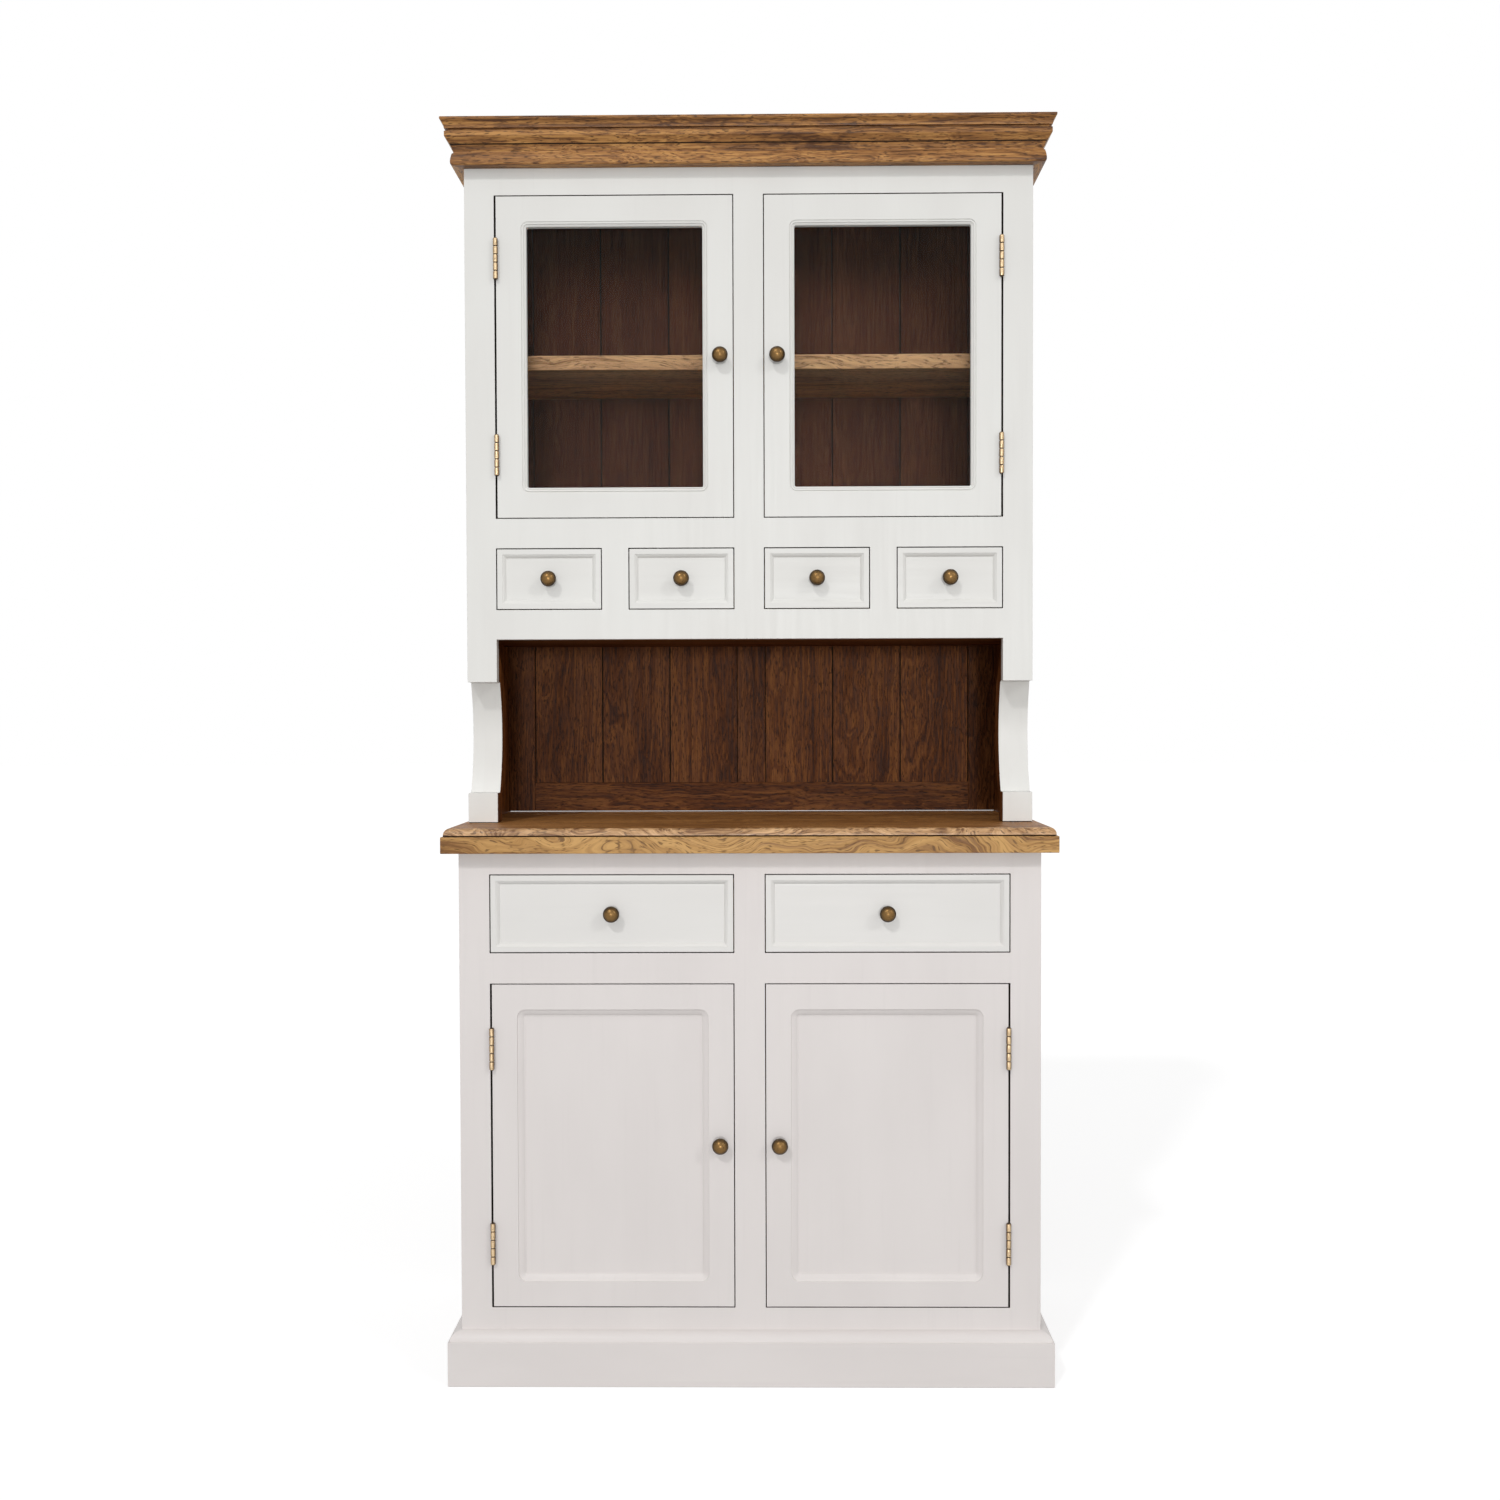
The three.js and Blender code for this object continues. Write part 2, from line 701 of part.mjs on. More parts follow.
// One drawer in its opening: opening = { centre, floor, width, height, face, depth }.
function addDrawer(name, opening, parent) {
  const group = new THREE.Group();
  group.position.set(opening.centre, opening.face, opening.floor + opening.height / 2);
  parent.add(group);
  const frontWidth = opening.width - 2 * frontGap;
  const frontHeight = opening.height - 2 * frontGap;
  named(`${name}_front`, drawerFront(frontWidth, frontHeight), paint(), group);
  const boxWidth = opening.width - 2 * drawerSideClearance;
  const boxHeight = opening.height - seatClearance - drawerHeadroom;
  const boxDepth = opening.depth - drawerFrontThickness - drawerBackClearance;
  const box = named(`${name}_box`, drawerBox(boxWidth, boxHeight, boxDepth), plainWood(), group);
  box.position.set(0, drawerFrontThickness, seatClearance - opening.height / 2);
  const knob = named(`${name}_knob`, knobGeometry(), agedBrass(), group);
  knob.position.y = drawerMouldDepth;
}

function glazedFrame(width, height) {
  const sight = glazedFlatWidth + glazedMouldWidth;
  return mitredFrame(width, height, [
    [0, doorThickness],
    [0, 0],
    ...moulded(doorMouldShares, glazedFlatWidth, glazedMouldWidth, glazedMouldDepth),
    [sight, rebateDepth],
    [sight - rebateWidth, rebateDepth],
    [sight - rebateWidth, doorThickness],
  ]);
}

function panelDoorFrame(width, height) {
  const sight = panelDoorFlatWidth + panelDoorMouldWidth;
  return mitredFrame(width, height, [
    [0, doorThickness],
    [0, 0],
    ...moulded(doorMouldShares, panelDoorFlatWidth, panelDoorMouldWidth, panelDoorMouldDepth),
    [sight, panelRebateDepth],
    [sight - rebateWidth, panelRebateDepth],
    [sight - rebateWidth, doorThickness],
  ]);
}

// A sheet that lies in the rebate at the back of a door's frame.
function doorInfill(width, height, inset, depth, thickness) {
  const rings = [depth, depth + thickness].map((y) => frontRing(width, height, inset, y));
  return loft(rings, fanCap(rings[0]));
}

// One inset door and its two hinges. side is -1 for the left door and 1 for the right one.
// opening = { stileEdge, mullionEdge, sill, height, face }, kind = { frame, infill, knobRise }.
function addDoor(name, side, opening, kind, parent) {
  const width = opening.stileEdge - opening.mullionEdge - doorHingeGap - frontGap;
  const height = opening.height - 2 * frontGap;
  const hingeEdge = opening.stileEdge - doorHingeGap;
  const centre = opening.sill + opening.height / 2;
  const group = new THREE.Group();
  group.position.set(side * (hingeEdge - width / 2), opening.face, centre);
  parent.add(group);
  named(`${name}_frame`, kind.frame(width, height), paint(), group);
  kind.infill(width, height, group);
  const knob = named(`${name}_knob`, knobGeometry(), agedBrass(), group);
  knob.position.set(-side * (width / 2 - kind.flatWidth / 2), 0, kind.knobRise);
  const hingeRise = height / 2 - hingeFromDoorEnd;
  for (const [place, rise] of [['upper', hingeRise], ['lower', -hingeRise]]) {
    const edge = side * opening.stileEdge;
    addHinge(`${name}_${place}_hinge`, side, edge, opening.face, centre + rise, parent);
  }
}

function sidesOf(name) {
  return [[`${name}_left`, -1], [`${name}_right`, 1]];
}

function buildBaseFronts(parent) {
  const stileEdge = baseWidth / 2 - baseStileWidth;
  const mullionEdge = baseMullionWidth / 2;
  for (const [name, side] of sidesOf('wide_drawer')) {
    addDrawer(name, {
      centre: (side * (stileEdge + mullionEdge)) / 2,
      floor: wideDrawerFloor,
      width: stileEdge - mullionEdge,
      height: wideDrawerOpening,
      face: baseFace,
      depth: baseBackFace - baseFace,
    }, parent);
  }
  for (const [name, side] of sidesOf('base_door')) {
    const infill = (width, height, group) => named(`${name}_panel`, doorInfill(
      width,
      height,
      panelDoorFlatWidth + panelDoorMouldWidth - rebateWidth + rebateClearance,
      panelRebateDepth,
      doorPanelThickness,
    ), paint(), group);
    addDoor(name, side, {
      stileEdge, mullionEdge, sill: baseDoorSill, height: baseDoorOpening, face: baseFace,
    }, {
      frame: panelDoorFrame, infill, flatWidth: panelDoorFlatWidth, knobRise: baseDoorKnobRise,
    }, parent);
  }
}

function buildHutchFronts(parent) {
  const stileEdge = hutchWidth / 2 - hutchStileWidth;
  const mullionEdge = hutchMullionWidth / 2;
  const muntin = drawerMuntinWidth / 2;
  const muntinPlace = (stileEdge + mullionEdge) / 2;
  const bays = [
    [-stileEdge, -muntinPlace - muntin],
    [-muntinPlace + muntin, -mullionEdge],
    [mullionEdge, muntinPlace - muntin],
    [muntinPlace + muntin, stileEdge],
  ];
  bays.forEach(([low, high], index) => {
    addDrawer(`small_drawer_${index + 1}`, {
      centre: (low + high) / 2,
      floor: smallDrawerFloor,
      width: high - low,
      height: smallDrawerOpening,
      face: hutchFace,
      depth: backFrameFace - hutchFace,
    }, parent);
  });
  for (const [name, side] of sidesOf('glazed_door')) {
    const infill = (width, height, group) => named(`${name}_glass`, doorInfill(
      width,
      height,
      glazedFlatWidth + glazedMouldWidth - rebateWidth + rebateClearance,
      rebateDepth,
      glassThickness,
    ), glass(), group);
    addDoor(name, side, {
      stileEdge, mullionEdge, sill: glazedDoorSill, height: glazedDoorOpening, face: hutchFace,
    }, {
      frame: glazedFrame, infill, flatWidth: glazedFlatWidth, knobRise: 0,
    }, parent);
  }
}

const dresser = new THREE.Group();
buildBase(dresser);
buildWorktop(dresser);
buildHutch(dresser);
buildBaseFronts(dresser);
buildHutchFronts(dresser);

export default dresser;
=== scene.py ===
"""Dresser with hutch: the looks of a painted two-part dresser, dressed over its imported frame.

Lengths are in metres, Z is up, the front faces -Y, and the origin is on the floor below the middle
of the worktop. The places of the pieces come from the frame's own nodes.
"""

import logging
import math
import zlib
from collections.abc import Callable, Iterator, Sequence
from contextlib import contextmanager
from dataclasses import dataclass
from enum import Enum
from random import Random

import bmesh
import bpy
from mathutils import Matrix, Vector


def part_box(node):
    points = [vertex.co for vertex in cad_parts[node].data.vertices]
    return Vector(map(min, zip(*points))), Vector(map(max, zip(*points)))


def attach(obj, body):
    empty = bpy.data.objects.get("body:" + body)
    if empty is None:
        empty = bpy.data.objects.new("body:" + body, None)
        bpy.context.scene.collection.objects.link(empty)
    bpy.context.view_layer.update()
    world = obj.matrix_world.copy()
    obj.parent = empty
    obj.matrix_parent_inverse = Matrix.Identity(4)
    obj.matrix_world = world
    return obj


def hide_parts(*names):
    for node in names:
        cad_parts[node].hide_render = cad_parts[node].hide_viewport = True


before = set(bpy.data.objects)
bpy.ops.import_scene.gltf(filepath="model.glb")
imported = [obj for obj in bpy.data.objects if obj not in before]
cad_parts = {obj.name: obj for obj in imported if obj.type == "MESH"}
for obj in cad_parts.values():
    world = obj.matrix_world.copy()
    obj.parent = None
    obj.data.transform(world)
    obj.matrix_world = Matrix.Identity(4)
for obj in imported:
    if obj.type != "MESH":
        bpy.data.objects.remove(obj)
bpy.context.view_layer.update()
log = logging.getLogger("dresser")

Colour = tuple[float, float, float]
Material = bpy.types.Material
Piece = bpy.types.Object
Socket = bpy.types.NodeSocket
Spot = tuple[float, float]
Test = Callable[[Vector, Vector], bool]


def mm(value: float) -> float:
    """Millimetres as metres."""
    return value / 1000.0


# How near to a plane a face or an edge counts as lying in it, and how near two points are merged.
NEAR = mm(1)
WELD = mm(0.01)
FINE_WELD = mm(0.002)

# The part of a face's normal along a direction above which it looks squarely that way, looks that
# way, or leans to it.
SQUARE = 0.99
FACING = 0.9
LEANING = 0.3

# The first and the later ranges of a stave's shift along the tree, its tone and its heart's place.
SHIFTS = (0.1, 4.0)
TONES = (-1.0, 1.0)
HEARTS = (-0.06, 0.06)
LATER_SHIFTS = (0.3, 3.0)
LATER_HEARTS = (-0.02, 0.02)


class Axis(Enum):
    """The three directions of the frame, which a board's grain can follow."""

    X = 0
    Y = 1
    Z = 2


class Slot(Enum):
    """The record's material slots."""

    PAINT = "white_paint"
    HONEY = "honey_oak"
    BROWN = "brown_oak"
    DARK = "dark_stained_wood"
    PLAIN = "plain_wood"
    GLASS = "clear_glass"
    BRASS = "aged_brass"


class Side(Enum):
    """The two sides of the dresser, as signs along X."""

    LEFT = -1
    RIGHT = 1


@dataclass(frozen=True)
class Box:
    """The lowest and highest corners of a piece."""

    low: Vector
    high: Vector

    @classmethod
    def of(cls, node: str) -> "Box":
        """The box of one node of the frame."""
        low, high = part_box(node)
        return cls(Vector(low), Vector(high))

    @property
    def centre(self) -> Vector:
        """The middle of the box."""
        return (self.low + self.high) / 2

    @property
    def size(self) -> Vector:
        """The box's three lengths."""
        return self.high - self.low


# Modelling bench


def clear_selection() -> None:
    """Leaves edit mode and selects nothing."""
    if bpy.context.mode != "OBJECT":
        bpy.ops.object.mode_set(mode="OBJECT")
    bpy.ops.object.select_all(action="DESELECT")


def take_up(piece: Piece) -> None:
    """Makes one piece the only selected and the active one.

    Args:
        piece: the piece to take up.
    """
    clear_selection()
    piece.select_set(True)
    bpy.context.view_layer.objects.active = piece


def scrap(*pieces: Piece) -> None:
    """Throws pieces away.

    Args:
        pieces: the cutters and patterns that are no longer needed.
    """
    for piece in pieces:
        take_up(piece)
        bpy.ops.object.delete()


@contextmanager
def shaping(piece: Piece, kind: str = "FACE") -> Iterator[None]:
    """Opens a piece in edit mode.

    Args:
        piece: the piece to shape.
        kind: the kind of element that is picked: VERT, EDGE or FACE.
    """
    take_up(piece)
    bpy.ops.object.mode_set(mode="EDIT")
    bpy.ops.mesh.select_mode(type=kind)
    yield
    bpy.ops.object.mode_set(mode="OBJECT")


def pick_all() -> None:
    """Selects all of the open mesh."""
    bpy.ops.mesh.select_all(action="SELECT")


def pick_faces(piece: Piece, test: Test) -> int:
    """Selects the faces whose middle and normal pass a test.

    Args:
        piece: a piece in edit mode.
        test: takes a face's middle and its normal.

    Returns:
        How many faces were picked.
    """
    bpy.ops.mesh.select_all(action="DESELECT")
    sheet = bmesh.from_edit_mesh(piece.data)
    picked = [face for face in sheet.faces if test(face.calc_center_median(), face.normal)]
    for face in picked:
        face.select_set(True)
    bmesh.update_edit_mesh(piece.data)
    return len(picked)


def pick_edges(piece: Piece, test: Test) -> None:
    """Selects the edges whose two ends pass a test.

    Args:
        piece: a piece in edit mode.
        test: takes the places of the edge's two ends.
    """
    bpy.ops.mesh.select_all(action="DESELECT")
    sheet = bmesh.from_edit_mesh(piece.data)
    for edge in sheet.edges:
        if test(edge.verts[0].co, edge.verts[1].co):
            edge.select_set(True)
    bmesh.update_edit_mesh(piece.data)


def draw_out(way: Sequence[float]) -> None:
    """Extrudes what is picked in the open mesh."""
    bpy.ops.mesh.extrude_region_move(TRANSFORM_OT_translate={"value": way})


def score(place: Sequence[float], normal: Sequence[float]) -> None:
    """Divides every face of the open mesh that a plane crosses."""
    pick_all()
    bpy.ops.mesh.bisect(plane_co=place, plane_no=normal)


def face_outwards(weld: float = 0.0) -> None:
    """Merges the open mesh's touching points and turns its faces outwards.

    Args:
        weld: how near two points are merged, or zero to merge none.
    """
    pick_all()
    if weld > 0:
        bpy.ops.mesh.remove_doubles(threshold=weld)
    bpy.ops.mesh.normals_make_consistent(inside=False)


def settle(piece: Piece) -> None:
    """Puts a piece's place, turn and scale into its mesh."""
    take_up(piece)
    bpy.ops.object.transform_apply(location=True, rotation=True, scale=True)


def ease_edges(piece: Piece, width: float, segments: int = 2, angle: float = 60.0,
               spare: Test | None = None) -> None:
    """Rounds every sharp edge of a piece a little, as a sanding block does.

    Args:
        piece: the piece to ease.
        width: how far the rounding reaches from each edge.
        segments: the steps in the rounding.
        angle: the least angle in degrees at which an edge counts as sharp.
        spare: takes an edge's two ends and says whether it stays square.
    """
    with shaping(piece, "EDGE"):
        bpy.ops.mesh.select_all(action="DESELECT")
        bpy.ops.mesh.edges_select_sharp(sharpness=math.radians(angle))
        if spare:
            sheet = bmesh.from_edit_mesh(piece.data)
            for edge in sheet.edges:
                if edge.select and spare(edge.verts[0].co, edge.verts[1].co):
                    edge.select_set(False)
            bmesh.update_edit_mesh(piece.data)
        bpy.ops.mesh.bevel(offset=width, segments=segments, affect="EDGES", clamp_overlap=True)


def smooth(piece: Piece, angle: float = 32.0) -> None:
    """Shades rounded parts smooth and keeps flat parts flat.

    Args:
        piece: the piece to shade.
        angle: edges sharper than this many degrees stay crisp.
    """
    take_up(piece)
    bpy.ops.object.shade_smooth_by_angle(angle=math.radians(angle))
    bpy.ops.object.modifier_add(type="WEIGHTED_NORMAL")
    piece.modifiers[-1].keep_sharp = True
    bpy.ops.object.modifier_apply(modifier=piece.modifiers[-1].name)


def cut_board(name: str, low: Sequence[float], high: Sequence[float], ease: float) -> Piece:
    """Cuts a square board between two corners and eases its edges.

    Args:
        name: the piece's name.
        low: the board's lowest corner.
        high: the board's highest corner.
        ease: how far its edges are rounded, or zero for none.

    Returns:
        The board.
    """
    clear_selection()
    first, last = Vector(low), Vector(high)
    bpy.ops.mesh.primitive_cube_add(size=1.0, location=(first + last) / 2, scale=last - first)
    piece = bpy.context.active_object
    piece.name = piece.data.name = name
    settle(piece)
    if ease > 0:
        ease_edges(piece, ease)
    return piece


def draw_outline(name: str, points: Sequence[Vector], closed: bool = True) -> Piece:
    """Draws an outline one point after another.

    Args:
        name: the piece's name.
        points: the outline's points in order.
        closed: whether the outline ends in a flat face.

    Returns:
        The drawn piece.
    """
    clear_selection()
    bpy.ops.mesh.primitive_plane_add(size=mm(1), location=points[0])
    piece = bpy.context.active_object
    piece.name = piece.data.name = name
    settle(piece)
    with shaping(piece, "VERT"):
        pick_all()
        bpy.ops.mesh.merge(type="CENTER")
        for last, point in zip(points, points[1:]):
            bpy.ops.mesh.extrude_vertices_move(TRANSFORM_OT_translate={"value": point - last})
        if closed:
            pick_all()
            bpy.ops.mesh.edge_face_add()
    return piece


def outline_plate(name: str, points: Sequence[Vector], thickness: Vector) -> Piece:
    """Cuts a plate to an outline.

    Args:
        name: the piece's name.
        points: the outline's points in order.
        thickness: the way from the drawn face to the other one.

    Returns:
        The plate.
    """
    piece = draw_outline(name, points)
    with shaping(piece):
        pick_all()
        draw_out(thickness)
        face_outwards()
    return piece


def turn_rod(radius: float, length: float, middle: Sequence[float], along: Axis,
             sides: int) -> Piece:
    """Turns a plain rod.

    Args:
        radius: half of its width.
        length: its length.
        middle: the point halfway along it.
        along: the direction that it lies in.
        sides: how many flats make up its round.

    Returns:
        The rod, with square ends.
    """
    clear_selection()
    tilt = {Axis.X: (0, math.pi / 2, 0), Axis.Y: (math.pi / 2, 0, 0), Axis.Z: (0, 0, 0)}[along]
    bpy.ops.mesh.primitive_cylinder_add(
        vertices=sides, radius=radius, depth=length, location=middle, rotation=tilt)
    piece = bpy.context.active_object
    settle(piece)
    return piece


def trim(piece: Piece, place: Vector, away: Vector) -> None:
    """Saws a piece along a plane and closes the cut.

    Args:
        piece: the piece to saw.
        place: a point on the cut.
        away: the direction of the part that falls off.
    """
    with shaping(piece):
        pick_all()
        bpy.ops.mesh.bisect(plane_co=place, plane_no=away, use_fill=True, clear_outer=True)
        face_outwards(FINE_WELD)


def carve(piece: Piece, cutter: Piece) -> None:
    """Takes one piece's volume out of another.

    Args:
        piece: the piece that is cut.
        cutter: the shape that is taken out of it, which is thrown away afterwards.
    """
    take_up(piece)
    bpy.ops.object.modifier_add(type="BOOLEAN")
    tool = piece.modifiers[-1]
    tool.operation = "DIFFERENCE"
    tool.solver = "EXACT"
    tool.object = cutter
    bpy.ops.object.modifier_apply(modifier=tool.name)
    scrap(cutter)


def join_pieces(name: str, parts: Sequence[Piece]) -> Piece:
    """Joins several parts into one piece.

    Args:
        name: the joined piece's name.
        parts: the parts, of which the first one takes the others in.

    Returns:
        The joined piece.
    """
    clear_selection()
    for part in parts:
        part.select_set(True)
    bpy.context.view_layer.objects.active = parts[0]
    bpy.ops.object.join()
    piece = bpy.context.active_object
    piece.name = piece.data.name = name
    return piece


def copy_piece(source: Piece, name: str, shift: Vector, flip: bool = False) -> Piece:
    """Copies a piece with a mesh of its own.

    Args:
        source: the piece to copy.
        name: the copy's name.
        shift: how far the copy stands from the source.
        flip: whether the copy is mirrored first.

    Returns:
        The copy.
    """
    take_up(source)
    bpy.ops.object.duplicate(linked=False)
    piece = bpy.context.active_object
    piece.name = piece.data.name = name
    if flip:
        piece.scale.x = -1.0
        settle(piece)
        with shaping(piece):
            face_outwards()
    piece.location = shift
    settle(piece)
    return piece


# Grain


@dataclass(frozen=True)
class Staves:
    """How a board is glued up: the grain's run, and where one stave meets the next."""

    run: Axis
    across: Axis
    joints: tuple[float, ...] = ()

    @property
    def through(self) -> Axis:
        """The direction through the board's thickness."""
        return next(axis for axis in Axis if axis not in (self.run, self.across))


def even_joints(low: float, width: float, staves: int) -> tuple[float, ...]:
    """The joints of a board that is glued up from staves of one width."""
    return tuple(low + width / staves * i for i in range(1, staves))


def seeded(name: str) -> Random:
    """A source of numbers that is the same for one name on every run."""
    return Random(zlib.crc32(name.encode()))


def lay_grain(piece: Piece, staves: Staves, key: str = "") -> None:
    """Writes the grain's own coordinates on a piece, so that the wood runs through it as a solid.

    The attribute "grain" holds the way along, across and through the board, and "board" holds what
    differs from one stave to the next: a shift, a tone and the place of the tree's heart.

    Args:
        piece: the piece, whose faces each belong to the stave that their middle is in.
        staves: the run of the grain and the joints between the staves.
        key: another name than the piece's own to draw the differences from.
    """
    mesh = piece.data
    draw = seeded(key or piece.name)
    bounds = [-math.inf, *staves.joints, math.inf]
    lots = [(draw.uniform(*SHIFTS), draw.uniform(*TONES), draw.uniform(*HEARTS))
            for _ in range(len(bounds) - 1)]
    run, across, through = staves.run.value, staves.across.value, staves.through.value
    points = [vertex.co for vertex in mesh.vertices]
    low = [min(p[k] for p in points) for k in range(3)]
    high = [max(p[k] for p in points) for k in range(3)]
    middle = [(a + b) / 2 for a, b in zip(low, high)]
    grain = [0.0] * (3 * len(mesh.loops))
    board = [0.0] * (3 * len(mesh.loops))
    for face in mesh.polygons:
        place = face.center[across]
        stave = max(i for i, edge in enumerate(bounds[:-1]) if place >= edge)
        left = max(bounds[stave], low[across])
        right = min(bounds[stave + 1], high[across])
        for loop in face.loop_indices:
            co = mesh.vertices[mesh.loops[loop].vertex_index].co
            grain[3 * loop:3 * loop + 3] = (
                co[run] - middle[run],
                co[across] - (left + right) / 2,
                co[through] - middle[through],
            )
            board[3 * loop:3 * loop + 3] = lots[stave]
    for label, values in (("grain", grain), ("board", board)):
        layer = mesh.attributes.new(label, "FLOAT_VECTOR", "CORNER")
        layer.data.foreach_set("vector", values)


def reshuffle(piece: Piece) -> None:
    """Moves a copy's wood along, so that it doesn't repeat the grain of the piece it came from.

    Args:
        piece: the copy, under its own name.
    """
    draw = seeded(piece.name)
    shift, heart = draw.uniform(*LATER_SHIFTS), draw.uniform(*LATER_HEARTS)
    layer = piece.data.attributes["board"]
    values = [0.0] * (3 * len(layer.data))
    layer.data.foreach_get("vector", values)
    for i in range(0, len(values), 3):
        values[i] += shift
        values[i + 2] += heart
    layer.data.foreach_set("vector", values)


# Finishes


class NodeSheet:
    """The shader nodes of one material or of the sky, added one at a time."""

    def __init__(self, name: str, sky: bool = False) -> None:
        """Starts a material or a sky without nodes.

        Args:
            name: its name.
            sky: whether it is a sky.
        """
        self.owner = (bpy.data.worlds if sky else bpy.data.materials).new(name)
        self.owner.use_nodes = True
        self.tree = self.owner.node_tree
        self.tree.nodes.clear()

    def add(self, kind: str, inputs: dict | None = None, **settings: object) -> bpy.types.Node:
        """Adds a node, sets its inputs and links those that are sockets.

        Args:
            kind: the node's type without its ShaderNode prefix.
            inputs: values or sockets by the input's name or number.
            settings: the node's own settings.

        Returns:
            The node.
        """
        node = self.tree.nodes.new(f"ShaderNode{kind}")
        for key, value in settings.items():
            setattr(node, key, value)
        for key, value in (inputs or {}).items():
            if isinstance(value, bpy.types.NodeSocket):
                self.tree.links.new(value, node.inputs[key])
            else:
                node.inputs[key].default_value = value
        return node

    def math(self, operation: str, *values: object, clamp: bool = False) -> Socket:
        """A sum on numbers or sockets."""
        inputs = dict(enumerate(values))
        return self.add("Math", inputs, operation=operation, use_clamp=clamp).outputs[0]

    def vector(self, operation: str, first: object, second: object) -> Socket:
        """A sum on vectors."""
        return self.add("VectorMath", {0: first, 1: second}, operation=operation).outputs[0]

    def noise(self, place: Socket, scale: Sequence[float], detail: float = 2.0,
              roughness: float = 0.5) -> Socket:
        """Noise from zero to one.

        Args:
            place: the point at which it is read.
            scale: how many times it changes in a metre along each direction.
            detail: how many finer layers it has.
            roughness: how strong the finer layers are.

        Returns:
            The noise's value.
        """
        stretched = self.vector("MULTIPLY", place, tuple(scale))
        inputs = {"Vector": stretched, "Scale": 1.0, "Detail": detail, "Roughness": roughness}
        return self.add("TexNoise", inputs).outputs[0]

    def band(self, value: Socket, start: float, end: float, low: float = 0.0, high: float = 1.0,
             soft: bool = True) -> Socket:
        """A value moved from one range to another and held at the ends.

        Args:
            value: the value to move.
            start: where the old range starts.
            end: where the old range ends.
            low: where the new range starts.
            high: where the new range ends.
            soft: whether it eases in and out.

        Returns:
            The moved value.
        """
        style = "SMOOTHSTEP" if soft else "LINEAR"
        inputs = {0: value, 1: start, 2: end, 3: low, 4: high}
        return self.add("MapRange", inputs, interpolation_type=style).outputs[0]

    def mix(self, share: object, first: object, second: object, blend: str = "MIX") -> Socket:
        """A mix of two colours by a share from zero to one."""
        inputs = {0: share, 6: self._colour(first), 7: self._colour(second)}
        return self.add("Mix", inputs, data_type="RGBA", blend_type=blend).outputs[2]

    def attribute(self, name: str, output: str = "Vector") -> Socket:
        """An attribute of the piece."""
        return self.add("Attribute", attribute_name=name).outputs[output]

    def bump(self, height: Socket, strength: float, distance: float) -> Socket:
        """A bump from a height."""
        inputs = {"Height": height, "Strength": strength, "Distance": distance}
        return self.add("Bump", inputs).outputs[0]

    def close(self, shader: Socket, output: str = "OutputMaterial") -> Material | bpy.types.World:
        """Links the shader to the output and hands the material or the sky over."""
        self.add(output, {"Surface": shader})
        return self.owner

    @staticmethod
    def _colour(value: object) -> object:
        """A colour with its fourth number, or the socket as it is."""
        return (*value, 1.0) if isinstance(value, tuple) and len(value) == 3 else value


